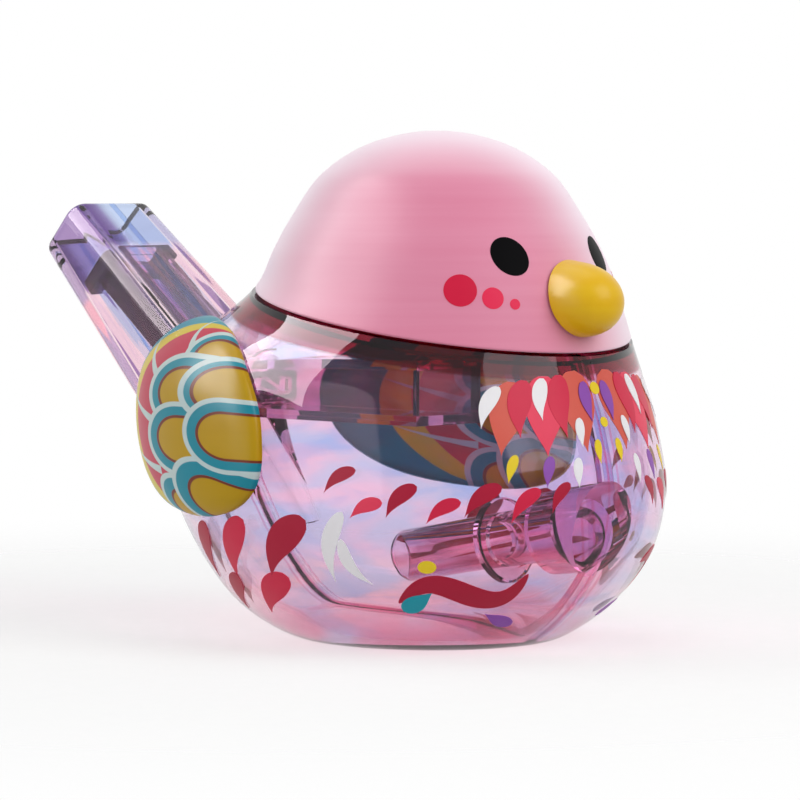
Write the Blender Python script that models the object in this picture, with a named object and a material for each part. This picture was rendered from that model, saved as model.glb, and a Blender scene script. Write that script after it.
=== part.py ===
"""A water-warbling bird whistle: a clear two-part body, a head cap and the parts that make it sing.

The bird faces -Y and stands on its flat foot at Z = 0, with its middle plane at X = 0. All sizes are metres.
Blow into the tail: the breath runs through the windway insert to the whistle chamber in the belly.
"""
import math

import bmesh
import bpy
import numpy as np
from mathutils import Vector

# Overall form: one skin carries belly and head, and the rim plane parts them
HEIGHT = 0.060
BREAST_REACH = 0.0275
RUMP_REACH = 0.0360
BELLY_HALF_WIDTH = 0.0280
FORM_SEGMENTS = 48
ROWS_PER_STATION = 2

# Stations up the bird, as shares of the height, breast reach, rump reach and half width
STATIONS = np.array([
    (0.000, 0.490, 0.430, 0.500),
    (0.022, 0.612, 0.555, 0.643),
    (0.083, 0.780, 0.695, 0.811),
    (0.183, 0.940, 0.825, 0.944),
    (0.300, 1.000, 0.940, 1.000),
    (0.417, 0.955, 1.000, 1.000),
    (0.517, 0.877, 0.985, 0.975),
    (0.583, 0.832, 0.895, 0.915),
    (0.642, 0.808, 0.723, 0.818),
    (0.700, 0.780, 0.599, 0.738),
    (0.767, 0.720, 0.545, 0.675),
    (0.833, 0.638, 0.483, 0.598),
    (0.917, 0.504, 0.381, 0.472),
    (0.977, 0.284, 0.215, 0.266),
    (1.000, 0.000, 0.000, 0.000),
])

# Rim between body and head, just under the neck's station, which tips down towards the beak
NECK_STATION = 8
RIM_BELOW_NECK = 0.0002
RIM_HEIGHT = STATIONS[NECK_STATION, 0] * HEIGHT - RIM_BELOW_NECK
RIM_TILT = math.radians(10.5)

# Walls and fits
BODY_WALL = 0.0018
HEAD_WALL = 0.0018
SHOULDER_THICKNESS = 0.0016
SPIGOT_WALL = 0.0012
SPIGOT_HEIGHT = 0.0030
FIT_GAP = 0.0003

# Weld on the middle plane: the halves meet there, and a low bead stands inside along the joint
WELD_GAP = 0.0003
WELD_BEAD_WIDTH = 0.0016
WELD_BEAD_DEPTH = 0.0007

# Raised wing pads, tilted so that the wings' rear ends stand higher
WING_BELOW_RIM = 0.0118
WING_HEIGHT = RIM_HEIGHT - WING_BELOW_RIM
WING_ANGLE = math.radians(117.0)
WING_TILT = math.radians(5.2)
WING_HALF_LENGTH = 0.0186
WING_HALF_DEPTH = 0.0108
WING_PROUD = 0.0027
WING_FULLNESS = 2.5
WING_EDGE_STEP = 0.00035
WING_ROOT = 0.0008
WING_SEGMENTS = 40

# Tail, the mouthpiece
TAIL_PAST_RUMP = 0.0206
TAIL_TIP_BACK = RUMP_REACH + TAIL_PAST_RUMP
TAIL_TIP_ABOVE_RIM = 0.0133
TAIL_TIP_HEIGHT = RIM_HEIGHT + TAIL_TIP_ABOVE_RIM
TAIL_TOP_SLOPE = math.radians(38.6)
TAIL_SPREAD = math.radians(3.5)
TAIL_LENGTH = 0.048
TAIL_TIP_WIDTH = 0.0138
TAIL_ROOT_WIDTH = 0.0180
TAIL_TIP_DEPTH = 0.0088
TAIL_EDGE_RADIUS = 0.0022
TAIL_LIP_RADIUS = 0.0009
TAIL_WALL = 0.0018
TAIL_HOLLOW_LENGTH = 0.0305
TAIL_HOLLOW_RADIUS = 0.0007

# Windway through the tail
DUCT_WIDTH = 0.0090
DUCT_DEPTH = 0.0050
DUCT_CORNER = 0.0007
DUCT_BELOW_CEILING = 0.0001
BEND_STEPS = 6
MOUTH_LENGTH = 0.0080
INSERT_HEAD_THICKNESS = 0.0018
WINDWAY_BEND_RADIUS = 0.012
INSERT_WALL = 0.0009

# Whistle chamber in the belly
CHAMBER_WIDTH = 0.0112
CHAMBER_DEPTH = 0.0076
CHAMBER_WALL = 0.0011
CHAMBER_FRONT = -0.0020
CHAMBER_SOCKET = 0.0020
CHAMBER_CLEARANCE = 0.0050
WINDOW_LENGTH = 0.0050
WINDOW_WIDTH = 0.0060
WINDOW_FROM_BACK = 0.0060

# Water tube low in the belly, its front end in a boss behind the breast
TUBE_OUTER_RADIUS = 0.0033
TUBE_BORE_RADIUS = 0.0022
TUBE_BEHIND_BREAST = 0.00628
TUBE_RISE = math.radians(11.0)
TUBE_LENGTH = 0.0262
TUBE_BACK = TUBE_LENGTH * math.cos(TUBE_RISE) + TUBE_BEHIND_BREAST - BREAST_REACH
TUBE_BACK_HEIGHT = 0.0092
TUBE_LIP_RADIUS = 0.0004
COLLAR_RADIUS = 0.0050
COLLAR_THICKNESS = 0.0012
COLLAR_FROM_BACK = 0.0150
BOSS_WALL = 0.0011
BOSS_LENGTH = 0.0034
TUBE_SEGMENTS = 28

# Head details
FILL_HOLE_RADIUS = 0.0013
BEAK_ABOVE_RIM = 0.0022
BEAK_HEIGHT = RIM_HEIGHT + BEAK_ABOVE_RIM
BEAK_LENGTH = 0.0058
BEAK_HALF_WIDTH = 0.0046
BEAK_HALF_DEPTH = 0.0043
BEAK_DROOP = math.radians(8.0)
BEAK_PEG_RADIUS = 0.0016
BEAK_SEGMENTS = 32

# Every cutter reaches this far past what it cuts, and points closer than the last of these are one point
OVERCUT = 0.002
FAR = 0.2
SAME_POINT = 0.000001


def curve_at(parameter, with_slope=False):
    """Height, breast reach, rump reach and half width at places along the stations' smooth curve."""
    sizes = np.array((HEIGHT, BREAST_REACH, RUMP_REACH, BELLY_HALF_WIDTH))
    rows = STATIONS * sizes
    under = rows[0] + (rows[0] - rows[1]) * (-1, 1, 1, 1)
    beyond = rows[-2] * (1, -1, -1, -1)
    knots = np.vstack((under, rows, beyond))
    first = np.clip(np.floor(parameter).astype(int), 0, len(rows) - 2)
    share = (parameter - first)[..., None]
    a, b, c, d = (knots[first + step] for step in range(4))
    linear, square, cube = c - a, 2 * a - 5 * b + 4 * c - d, 3 * b - a - 3 * c + d
    place = 0.5 * (2 * b + linear * share + square * share ** 2 + cube * share ** 3)
    if not with_slope:
        return place
    return place, 0.5 * (linear + 2 * square * share + 3 * cube * share ** 2)


def parameter_at(height):
    """Where the stations' curve reaches a height."""
    fine = np.linspace(0, len(STATIONS) - 1, 1401)
    return np.interp(height, curve_at(fine)[..., 0], fine)


def form_points(parameter, angle, inset=0.0):
    """Points of the skin, inset along its normal. The angle runs from the beak to the bird's left, +X."""
    parameter, angle = np.broadcast_arrays(parameter, angle)
    place, slope = curve_at(parameter, with_slope=True)
    forward = (place[..., 1] - place[..., 2]) / 2 + (place[..., 1] + place[..., 2]) / 2 * np.cos(angle)
    points = np.stack((place[..., 3] * np.sin(angle), -forward, place[..., 0]), -1)
    half_length = (place[..., 1] + place[..., 2]) / 2
    around = np.stack((place[..., 3] * np.cos(angle), half_length * np.sin(angle), 0 * angle), -1)
    run = (slope[..., 1] - slope[..., 2]) / 2 + (slope[..., 1] + slope[..., 2]) / 2 * np.cos(angle)
    along = np.stack((slope[..., 3] * np.sin(angle), -run, slope[..., 0]), -1)
    normal = np.cross(around, along)
    normal /= np.maximum(np.linalg.norm(normal, axis=-1, keepdims=True), 1e-12)
    return points - inset * normal


def material(name, colour, roughness, transmission=0.0):
    finish = bpy.data.materials.new(name)
    finish.use_nodes = True
    shader = finish.node_tree.nodes["Principled BSDF"]
    shader.inputs["Base Color"].default_value = (*colour, 1.0)
    shader.inputs["Roughness"].default_value = roughness
    shader.inputs["Metallic"].default_value = 0.0
    shader.inputs["Transmission Weight"].default_value = transmission
    finish.diffuse_color = (*colour, 1.0)
    return finish


def new_object(name, points, faces):
    mesh = bpy.data.meshes.new(name)
    mesh.from_pydata([tuple(point) for point in points], [], faces)
    shell = bmesh.new()
    shell.from_mesh(mesh)
    bmesh.ops.recalc_face_normals(shell, faces=shell.faces)
    shell.to_mesh(mesh)
    shell.free()
    piece = bpy.data.objects.new(name, mesh)
    bpy.context.scene.collection.objects.link(piece)
    return piece


def loft(name, rings, pole=None):
    """A closed solid through rings of equal count, capped flat at its ends or drawn to a pole at the last."""
    count = len(rings[0])
    points = [point for ring in rings for point in ring]
    faces = []
    for low in range(len(rings) - 1):
        for index in range(count):
            after = (index + 1) % count
            faces.append((low * count + index, low * count + after,
                          (low + 1) * count + after, (low + 1) * count + index))
    faces.append(tuple(reversed(range(count))))
    last = (len(rings) - 1) * count
    if pole is None:
        faces.append(tuple(last + index for index in range(count)))
    else:
        points.append(pole)
        faces += [(last + index, last + (index + 1) % count, len(points) - 1) for index in range(count)]
    return new_object(name, points, faces)


def form_solid(name, inset):
    """The whole bird's skin as one solid, inset by a wall."""
    steps = (len(STATIONS) - 1) * ROWS_PER_STATION
    rows = np.arange(steps)[:, None] / ROWS_PER_STATION
    angles = np.linspace(0, 2 * math.pi, FORM_SEGMENTS, endpoint=False)[None]
    rings = form_points(rows, angles, inset)
    return loft(name, rings, pole=(0, 0, HEIGHT - inset))


def box(name, low, high):
    corners = [(x, y, z) for z in (low[2], high[2]) for y in (low[1], high[1]) for x in (low[0], high[0])]
    faces = [(0, 2, 3, 1), (4, 5, 7, 6), (0, 1, 5, 4), (1, 3, 7, 5), (3, 2, 6, 7), (2, 0, 4, 6)]
    return new_object(name, corners, faces)


def rim_slab(name, rise, above):
    """All space above, or below, a plane parallel to the rim and raised from it along Z."""
    low, high = (0, FAR) if above else (-FAR, 0)
    slab = box(name, (-FAR, -FAR, low), (FAR, FAR, high))
    slab.location.z = RIM_HEIGHT + rise
    slab.rotation_euler.x = RIM_TILT
    return slab


def combine(target, tool, operation):
    """Applies one Boolean to the target, joins its stray points and removes the tool."""
    step = target.modifiers.new("combine", "BOOLEAN")
    step.operation = operation
    step.solver = "EXACT"
    step.object = tool
    bpy.context.view_layer.update()
    graph = bpy.context.evaluated_depsgraph_get()
    result = bpy.data.meshes.new_from_object(target.evaluated_get(graph))
    shell = bmesh.new()
    shell.from_mesh(result)
    bmesh.ops.remove_doubles(shell, verts=shell.verts, dist=SAME_POINT)
    bmesh.ops.dissolve_degenerate(shell, edges=shell.edges, dist=SAME_POINT)
    shell.to_mesh(result)
    shell.free()
    target.modifiers.clear()
    spare = target.data
    target.data = result
    bpy.data.meshes.remove(spare)
    bpy.data.objects.remove(tool, do_unlink=True)
    return target


def rounded_rectangle(width, depth, radius, corner_steps=4):
    """Points of a rounded rectangle about its centre, counterclockwise."""
    outline = []
    for corner, (side, rise) in enumerate(((1, 1), (-1, 1), (-1, -1), (1, -1))):
        centre = (side * (width / 2 - radius), rise * (depth / 2 - radius))
        for step in range(corner_steps + 1):
            turn = math.pi / 2 * (corner + step / corner_steps)
            outline.append((centre[0] + radius * math.cos(turn), centre[1] + radius * math.sin(turn)))
    return outline


def oriented_ring(outline, centre, across, up):
    return [centre + across * u + up * v for u, v in outline]


def tail_frame(slope):
    """Direction from tip to root, and the upward normal of that line, for a slope in the middle plane."""
    inward = Vector((0, -math.cos(slope), -math.sin(slope)))
    up = Vector((0, -math.sin(slope), math.cos(slope)))
    return inward, up


ACROSS = Vector((-1, 0, 0))
TAIL_TIP_TOP = Vector((0, TAIL_TIP_BACK, TAIL_TIP_HEIGHT))


def tail_ring(distance, shrink, corner):
    """The tail's section some way from its tip, shrunk on every side."""
    inward, up = tail_frame(TAIL_TOP_SLOPE + TAIL_SPREAD)
    centre = TAIL_TIP_TOP - up * TAIL_TIP_DEPTH / 2 + inward * distance
    width = TAIL_TIP_WIDTH + (TAIL_ROOT_WIDTH - TAIL_TIP_WIDTH) * distance / TAIL_LENGTH
    depth = TAIL_TIP_DEPTH + 2 * math.tan(TAIL_SPREAD) * distance
    outline = rounded_rectangle(width - 2 * shrink, depth - 2 * shrink, corner)
    return oriented_ring(outline, centre, ACROSS, up)


def tail_solid():
    """The outer tail: a rounded box that grows from its tip to its root, with a rolled lip at the mouth."""
    rings = []
    for step in range(4):
        turn = math.pi / 2 * step / 3
        shrink = TAIL_LIP_RADIUS * (1 - math.sin(turn))
        distance = TAIL_LIP_RADIUS * (1 - math.cos(turn))
        rings.append(tail_ring(distance, shrink, TAIL_EDGE_RADIUS - shrink))
    rings.append(tail_ring(TAIL_LENGTH, 0.0, TAIL_EDGE_RADIUS))
    return loft("tail", rings)


def tail_hollow(name, start, end, margin):
    """A length of the space inside the tail's walls."""
    corner = TAIL_HOLLOW_RADIUS
    return loft(name, [tail_ring(place, TAIL_WALL + margin, corner) for place in (start, end)])


def chamber_back():
    """Rear face of the whistle chamber, clear of the rump's wall."""
    return RUMP_REACH - BODY_WALL - CHAMBER_CLEARANCE


def windway_mouth():
    """Centre of the windway's section at the tail's tip, just under the tail's ceiling."""
    return TAIL_TIP_TOP - tail_frame(TAIL_TOP_SLOPE)[1] * (TAIL_WALL + DUCT_BELOW_CEILING + DUCT_DEPTH / 2)


def windway_bend():
    """Distance from the mouth at which the windway starts to level out, and the length of the bend."""
    inward = tail_frame(TAIL_TOP_SLOPE)[0]
    mouth = windway_mouth()
    level_at = chamber_back() + CHAMBER_SOCKET
    start = (mouth.y - level_at - WINDWAY_BEND_RADIUS * math.sin(TAIL_TOP_SLOPE)) / -inward.y
    return start, WINDWAY_BEND_RADIUS * TAIL_TOP_SLOPE


def windway_at(distance):
    """Centre and upward normal of the windway: a wall below the tail's top, then a bend, then level."""
    inward, up = tail_frame(TAIL_TOP_SLOPE)
    mouth = windway_mouth()
    bend_start, bend_length = windway_bend()
    if distance <= bend_start:
        return mouth + inward * distance, up
    turned_by = min(distance - bend_start, bend_length) / WINDWAY_BEND_RADIUS
    turned_up = tail_frame(TAIL_TOP_SLOPE - turned_by)[1]
    bend_centre = mouth + inward * bend_start + up * WINDWAY_BEND_RADIUS
    level_run = max(distance - bend_start - bend_length, 0.0)
    return bend_centre - turned_up * WINDWAY_BEND_RADIUS + Vector((0, -level_run, 0)), turned_up


def windway_end():
    """Distance from the mouth to the insert's inner end, which is plugged into the chamber."""
    return sum(windway_bend()) + 2 * CHAMBER_SOCKET


def duct_solid(name, start, end, margin):
    """A length of the windway's section, grown by a margin on every side."""
    outline = rounded_rectangle(DUCT_WIDTH + 2 * margin, DUCT_DEPTH + 2 * margin, DUCT_CORNER)
    bend_start, bend_length = windway_bend()
    bends = [bend_start + bend_length * step / BEND_STEPS for step in range(BEND_STEPS + 1)]
    places = [start] + [place for place in bends if start < place < end] + [end]
    rings = []
    for place in places:
        centre, up = windway_at(place)
        rings.append(oriented_ring(outline, centre, ACROSS, up))
    return loft(name, rings)


def wing_pad(side):
    """A raised, tilted and slightly squared oval pad, its edge crisp and its root sunk in the wall."""
    shares = (1.0, 0.97, 0.9, 0.75, 0.5, 0.25)
    turns = np.linspace(0, 2 * math.pi, WING_SEGMENTS, endpoint=False)
    waves = np.stack((np.cos(turns), np.sin(turns)))
    length, depth = np.sign(waves) * np.abs(waves) ** (2 / WING_FULLNESS)
    backward = WING_HALF_LENGTH * length * math.cos(WING_TILT) - WING_HALF_DEPTH * depth * math.sin(WING_TILT)
    upward = WING_HALF_LENGTH * length * math.sin(WING_TILT) + WING_HALF_DEPTH * depth * math.cos(WING_TILT)
    radius = (BREAST_REACH + RUMP_REACH) / 2

    def pad_ring(share, rise):
        angle = WING_ANGLE + share * backward / radius
        return form_points(parameter_at(WING_HEIGHT + share * upward), side * angle, -rise)

    def crown(share):
        return WING_EDGE_STEP + (WING_PROUD - WING_EDGE_STEP) * math.sqrt(1 - share ** 4)

    rings = [pad_ring(share, -WING_ROOT) for share in reversed(shares)]
    rings += [pad_ring(share, crown(share)) for share in shares]
    top = form_points(parameter_at(WING_HEIGHT), side * WING_ANGLE, -WING_PROUD)
    return loft("wing", rings, pole=tuple(top))


def weld_bead():
    """The low bead that stands inside along the middle plane."""
    bead = form_solid("weld_bead", BODY_WALL - WELD_BEAD_DEPTH)
    combine(bead, form_solid("bead_hollow", BODY_WALL + WELD_BEAD_DEPTH), "DIFFERENCE")
    half = WELD_BEAD_WIDTH / 2
    combine(bead, box("bead_slice", (-half, -FAR, -FAR), (half, FAR, FAR)), "INTERSECT")
    return combine(bead, rim_slab("bead_top", -SHOULDER_THICKNESS / 2, above=True), "DIFFERENCE")


def tube_axis():
    return Vector((0, -math.cos(TUBE_RISE), math.sin(TUBE_RISE)))


def turned(name, profile, segments, origin, axis, closed_ring=False):
    """A solid turned about an axis from (distance, radius) points. A closed ring's profile is a loop."""
    across = Vector((1, 0, 0))
    up = axis.cross(across).normalized()
    count = len(profile)
    points, faces = [], []
    for distance, radius in profile:
        for step in range(segments):
            turn = 2 * math.pi * step / segments
            points.append(origin + axis * distance + (across * math.cos(turn) + up * math.sin(turn)) * radius)
    for row in range(count if closed_ring else count - 1):
        below, above = row * segments, (row + 1) % count * segments
        for step in range(segments):
            after = (step + 1) % segments
            faces.append((below + step, below + after, above + after, above + step))
    if not closed_ring:
        faces.append(tuple(range(segments)))
        faces.append(tuple((count - 1) * segments + step for step in range(segments)))
    return new_object(name, points, faces)


TUBE_ORIGIN = Vector((0, TUBE_BACK, TUBE_BACK_HEIGHT))


def tube_boss():
    """The socket behind the breast that holds the water tube's front end, trimmed to the skin."""
    start = TUBE_LENGTH - BOSS_LENGTH
    outer = TUBE_OUTER_RADIUS + FIT_GAP + BOSS_WALL
    profile = ((start, outer), (TUBE_LENGTH + 5 * OVERCUT, outer))
    boss = turned("boss", profile, TUBE_SEGMENTS, TUBE_ORIGIN, tube_axis())
    return combine(boss, form_solid("boss_trim", BODY_WALL / 2), "INTERSECT")


def tube_socket():
    """The space that the water tube takes in its boss."""
    profile = ((-OVERCUT, TUBE_OUTER_RADIUS + FIT_GAP), (TUBE_LENGTH + FIT_GAP, TUBE_OUTER_RADIUS + FIT_GAP))
    return turned("socket", profile, TUBE_SEGMENTS, TUBE_ORIGIN, tube_axis())


def whole_body():
    """The clear body before it is parted: skin, tail, wings and spigot, then its hollows."""
    body = form_solid("body", 0.0)
    combine(body, rim_slab("above_rim", 0.0, above=True), "DIFFERENCE")
    combine(body, tail_solid(), "UNION")
    for side in (-1, 1):
        combine(body, wing_pad(side), "UNION")
    spigot = form_solid("spigot", HEAD_WALL + FIT_GAP)
    combine(spigot, rim_slab("spigot_top", SPIGOT_HEIGHT, above=True), "DIFFERENCE")
    combine(spigot, rim_slab("spigot_foot", -SHOULDER_THICKNESS / 2, above=False), "DIFFERENCE")
    combine(body, spigot, "UNION")
    belly = form_solid("belly_hollow", BODY_WALL)
    combine(belly, rim_slab("belly_top", -SHOULDER_THICKNESS, above=True), "DIFFERENCE")
    combine(body, belly, "DIFFERENCE")
    neck = form_solid("neck_bore", HEAD_WALL + FIT_GAP + SPIGOT_WALL)
    combine(neck, rim_slab("neck_foot", -SHOULDER_THICKNESS - OVERCUT, above=False), "DIFFERENCE")
    combine(body, neck, "DIFFERENCE")
    combine(body, weld_bead(), "UNION")
    combine(body, tube_boss(), "UNION")
    combine(body, tube_socket(), "DIFFERENCE")
    combine(body, tail_hollow("tail_hollow", -OVERCUT, TAIL_HOLLOW_LENGTH, 0.0), "DIFFERENCE")
    web_hole = duct_solid("web_hole", TAIL_HOLLOW_LENGTH - 2 * OVERCUT, windway_end(), 0.0)
    combine(body, web_hole, "DIFFERENCE")
    return body


def body_half(whole, name, side, finish):
    """One moulding: everything on its side of the weld."""
    half = bpy.data.objects.new(name, whole.data.copy())
    bpy.context.scene.collection.objects.link(half)
    inner = side * WELD_GAP / 2
    low, high = sorted((inner, side * FAR))
    combine(half, box("side", (low, -FAR, -FAR), (high, FAR, FAR)), "INTERSECT")
    return dress(half, finish)


def dress(piece, finish):
    """One material, and smooth shading that keeps real edges."""
    piece.data.materials.clear()
    piece.data.materials.append(finish)
    piece.data.shade_smooth()
    piece.data.set_sharp_from_angle(angle=math.radians(35))
    return piece


def head_cap(finish):
    """The opaque dome: the skin above the rim, hollowed, with the filling hole and the beak's hole."""
    cap = form_solid("head_cap", 0.0)
    combine(cap, form_solid("head_hollow", HEAD_WALL), "DIFFERENCE")
    combine(cap, rim_slab("below_rim", FIT_GAP, above=False), "DIFFERENCE")
    profile = ((HEIGHT - HEAD_WALL - OVERCUT, FILL_HOLE_RADIUS), (HEIGHT + OVERCUT, FILL_HOLE_RADIUS))
    combine(cap, turned("fill_hole", profile, TUBE_SEGMENTS, Vector(), Vector((0, 0, 1))), "DIFFERENCE")
    combine(cap, peg("peg_hole", FIT_GAP), "DIFFERENCE")
    return dress(cap, finish)


def beak_root():
    return Vector(form_points(parameter_at(BEAK_HEIGHT), 0.0))


def beak_axis():
    return Vector((0, -math.cos(BEAK_DROOP), -math.sin(BEAK_DROOP)))


def peg(name, margin):
    """The beak's round peg, which runs through the head's wall."""
    profile = ((-HEAD_WALL - OVERCUT - margin, BEAK_PEG_RADIUS + margin), (OVERCUT, BEAK_PEG_RADIUS + margin))
    return turned(name, profile, TUBE_SEGMENTS, beak_root(), beak_axis())


def beak(finish):
    """A blunt egg-shaped cone with a rounded tip, its root cut to the head's curve."""
    axis = beak_axis()
    across = Vector((1, 0, 0))
    up = across.cross(axis).normalized()
    root = beak_root()
    rings = [oriented_ring([(BEAK_HALF_WIDTH * math.cos(turn), BEAK_HALF_DEPTH * math.sin(turn))
                            for turn in np.linspace(0, 2 * math.pi, BEAK_SEGMENTS, endpoint=False)],
                           root - axis * OVERCUT, across, up)]
    steps = 9
    for step in range(steps):
        swing = math.pi / 2 * step / steps
        reach = math.sin(swing)
        girth = math.cos(swing) ** 0.9
        outline = [(BEAK_HALF_WIDTH * girth * math.cos(turn), BEAK_HALF_DEPTH * girth * math.sin(turn))
                   for turn in np.linspace(0, 2 * math.pi, BEAK_SEGMENTS, endpoint=False)]
        rings.append(oriented_ring(outline, root + axis * BEAK_LENGTH * reach, across, up))
    body = loft("beak", rings, pole=tuple(root + axis * BEAK_LENGTH))
    combine(body, form_solid("beak_seat", -FIT_GAP), "DIFFERENCE")
    combine(body, peg("beak_peg", 0.0), "UNION")
    return dress(body, finish)


def windway_insert(finish):
    """The box-section tube that lies along the tail's ceiling and guides the breath into the chamber.

    Its head is a plate that closes the tail round it. Its inner end runs through the rump's wall.
    """
    start, end = MOUTH_LENGTH, windway_end()
    insert = duct_solid("windway_insert", start, end, -FIT_GAP)
    combine(insert, tail_hollow("insert_head", start, start + INSERT_HEAD_THICKNESS, FIT_GAP), "UNION")
    bore = duct_solid("windway", start - OVERCUT, end + OVERCUT, -FIT_GAP - INSERT_WALL)
    combine(insert, bore, "DIFFERENCE")
    return dress(insert, finish)


def whistle_chamber(finish):
    """A closed-ended box pipe that the insert plugs into, with its sounding window in the top."""
    middle = windway_at(windway_end())[0].z
    back = chamber_back()
    half_width, half_depth = CHAMBER_WIDTH / 2, CHAMBER_DEPTH / 2
    chamber = box("whistle_chamber", (-half_width, CHAMBER_FRONT, middle - half_depth),
                  (half_width, back, middle + half_depth))
    wall = CHAMBER_WALL
    hollow = box("chamber_hollow", (-half_width + wall, CHAMBER_FRONT + wall, middle - half_depth + wall),
                 (half_width - wall, back - wall, middle + half_depth - wall))
    combine(chamber, hollow, "DIFFERENCE")
    window_back = back - WINDOW_FROM_BACK
    combine(chamber, box("window", (-WINDOW_WIDTH / 2, window_back - WINDOW_LENGTH, middle),
                         (WINDOW_WIDTH / 2, window_back, middle + half_depth + OVERCUT)), "DIFFERENCE")
    bend_end = sum(windway_bend())
    combine(chamber, duct_solid("chamber_socket", bend_end, windway_end() + FIT_GAP, 0.0), "DIFFERENCE")
    return dress(chamber, finish)


def water_tube(finish):
    """The tube with its collar, turned from one profile, its lips rounded."""
    lip, bore, outer = TUBE_LIP_RADIUS, TUBE_BORE_RADIUS, TUBE_OUTER_RADIUS
    collar_end = COLLAR_FROM_BACK + COLLAR_THICKNESS
    profile = (
        (lip, bore), (0.0, bore + lip), (0.0, outer - lip), (lip, outer),
        (COLLAR_FROM_BACK, outer), (COLLAR_FROM_BACK, COLLAR_RADIUS),
        (collar_end, COLLAR_RADIUS), (collar_end, outer),
        (TUBE_LENGTH - lip, outer), (TUBE_LENGTH, outer - lip),
        (TUBE_LENGTH, bore + lip), (TUBE_LENGTH - lip, bore),
    )
    tube = turned("water_tube", profile, TUBE_SEGMENTS, TUBE_ORIGIN, tube_axis(), closed_ring=True)
    return dress(tube, finish)


def centre_length(pieces):
    """Brings the middle of the whole length to Y = 0. Until here the head's axis is there."""
    reaches = [vertex.co.y for piece in pieces for vertex in piece.data.vertices]
    for piece in pieces:
        piece.location.y = -(min(reaches) + max(reaches)) / 2


def main():
    for old in list(bpy.data.objects):
        bpy.data.objects.remove(old, do_unlink=True)
    clear_pink = material("clear pink plastic", (0.93, 0.66, 0.76), 0.05, transmission=0.9)
    clear_violet = material("clear violet plastic", (0.55, 0.42, 0.62), 0.08, transmission=0.8)
    pearl_pink = material("pearl pink plastic", (0.86, 0.47, 0.57), 0.35)
    yellow = material("yellow plastic", (0.85, 0.58, 0.07), 0.35)
    whole = whole_body()
    pieces = [
        body_half(whole, "body_right_half", -1, clear_pink),
        body_half(whole, "body_left_half", 1, clear_pink),
        head_cap(pearl_pink),
        beak(yellow),
        windway_insert(clear_violet),
        whistle_chamber(clear_violet),
        water_tube(clear_violet),
    ]
    bpy.data.objects.remove(whole, do_unlink=True)
    centre_length(pieces)


main()
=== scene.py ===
# %% [markdown]
# # A clear bird whistle, dressed for its picture
#
# The whistle is a toy bird that warbles: breath blown into its tail runs along a flat windway, sounds a small
# chamber in the belly and bubbles through water. Its parts are injection mouldings: a clear pink body welded
# from two halves, an opaque pearly head cap, a yellow beak and tinted clear parts inside. The prints are ink.
#
# The frame below holds the solid parts at their real size. This lesson gives each of them its fine surface
# and its finish, adds the ink, and lights the whole in a plain white studio. All lengths are metres.

# %% Load the frame
import math

import bmesh
import bpy
import numpy as np
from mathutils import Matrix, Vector


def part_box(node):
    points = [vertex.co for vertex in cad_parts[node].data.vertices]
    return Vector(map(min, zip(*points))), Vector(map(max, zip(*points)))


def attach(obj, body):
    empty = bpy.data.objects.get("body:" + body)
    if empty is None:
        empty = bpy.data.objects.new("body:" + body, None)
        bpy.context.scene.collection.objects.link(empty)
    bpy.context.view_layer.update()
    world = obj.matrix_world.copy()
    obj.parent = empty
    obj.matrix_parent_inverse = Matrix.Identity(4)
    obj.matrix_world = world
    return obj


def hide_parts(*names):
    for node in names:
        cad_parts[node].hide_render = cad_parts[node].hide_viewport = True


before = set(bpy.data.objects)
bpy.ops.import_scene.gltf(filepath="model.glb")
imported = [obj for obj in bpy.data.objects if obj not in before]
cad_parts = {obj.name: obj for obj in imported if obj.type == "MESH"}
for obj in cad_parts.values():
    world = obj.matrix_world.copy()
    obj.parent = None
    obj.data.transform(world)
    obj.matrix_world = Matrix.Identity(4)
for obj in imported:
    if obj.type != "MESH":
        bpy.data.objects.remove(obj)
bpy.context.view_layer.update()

print("solid parts:", sorted(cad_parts))

# %% [markdown]
# ## The camera
#
# A long lens a little under half a metre away, nearly level with the bird, keeps the belly and head round
# without stretching the tail. Everything is placed from the head's upright axis, so its distance from the
# frame's middle is measured first: the whistle chamber's front face lies 2 mm in front of that axis.

# %% Place the camera
def new_object(name, data):
    item = bpy.data.objects.new(name, data)
    bpy.context.scene.collection.objects.link(item)
    return item


def face_back(item, target, direction, distance):
    """Puts a camera or lamp some way off its target, facing it."""
    item.location = target + direction * distance
    item.rotation_mode = "QUATERNION"
    item.rotation_quaternion = (-direction).to_track_quat("-Z", "Y")


CHAMBER_FRONT = -0.0020
HEAD_AXIS_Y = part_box("whistle_chamber")[0].y - CHAMBER_FRONT
CAMERA_TURN = math.radians(46.8)
CAMERA_RISE = math.radians(3.17)
CAMERA_DISTANCE = 0.45262
AIM_HEIGHT = 0.030
AIM_SIDEWAYS, AIM_UPWARDS = -0.00432, -0.00184
LENS_MM = 172.02

to_camera = Vector((-math.sin(CAMERA_TURN) * math.cos(CAMERA_RISE),
                    -math.cos(CAMERA_TURN) * math.cos(CAMERA_RISE), math.sin(CAMERA_RISE)))
camera_right = Vector((0, 0, 1)).cross(to_camera).normalized()
camera_up = to_camera.cross(camera_right)
aim = Vector((0, HEAD_AXIS_Y, AIM_HEIGHT)) + camera_right * AIM_SIDEWAYS + camera_up * AIM_UPWARDS
camera = new_object("camera", bpy.data.cameras.new("camera"))
camera.data.lens = LENS_MM
camera.data.sensor_width = 36
camera.data.clip_start, camera.data.clip_end = 0.01, 10
face_back(camera, aim, to_camera, CAMERA_DISTANCE)
bpy.context.scene.camera = camera
bpy.context.scene.view_settings.view_transform = "Standard"
print("head axis at y =", round(HEAD_AXIS_Y * 1000, 2), "mm; lens", LENS_MM, "mm")

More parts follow.
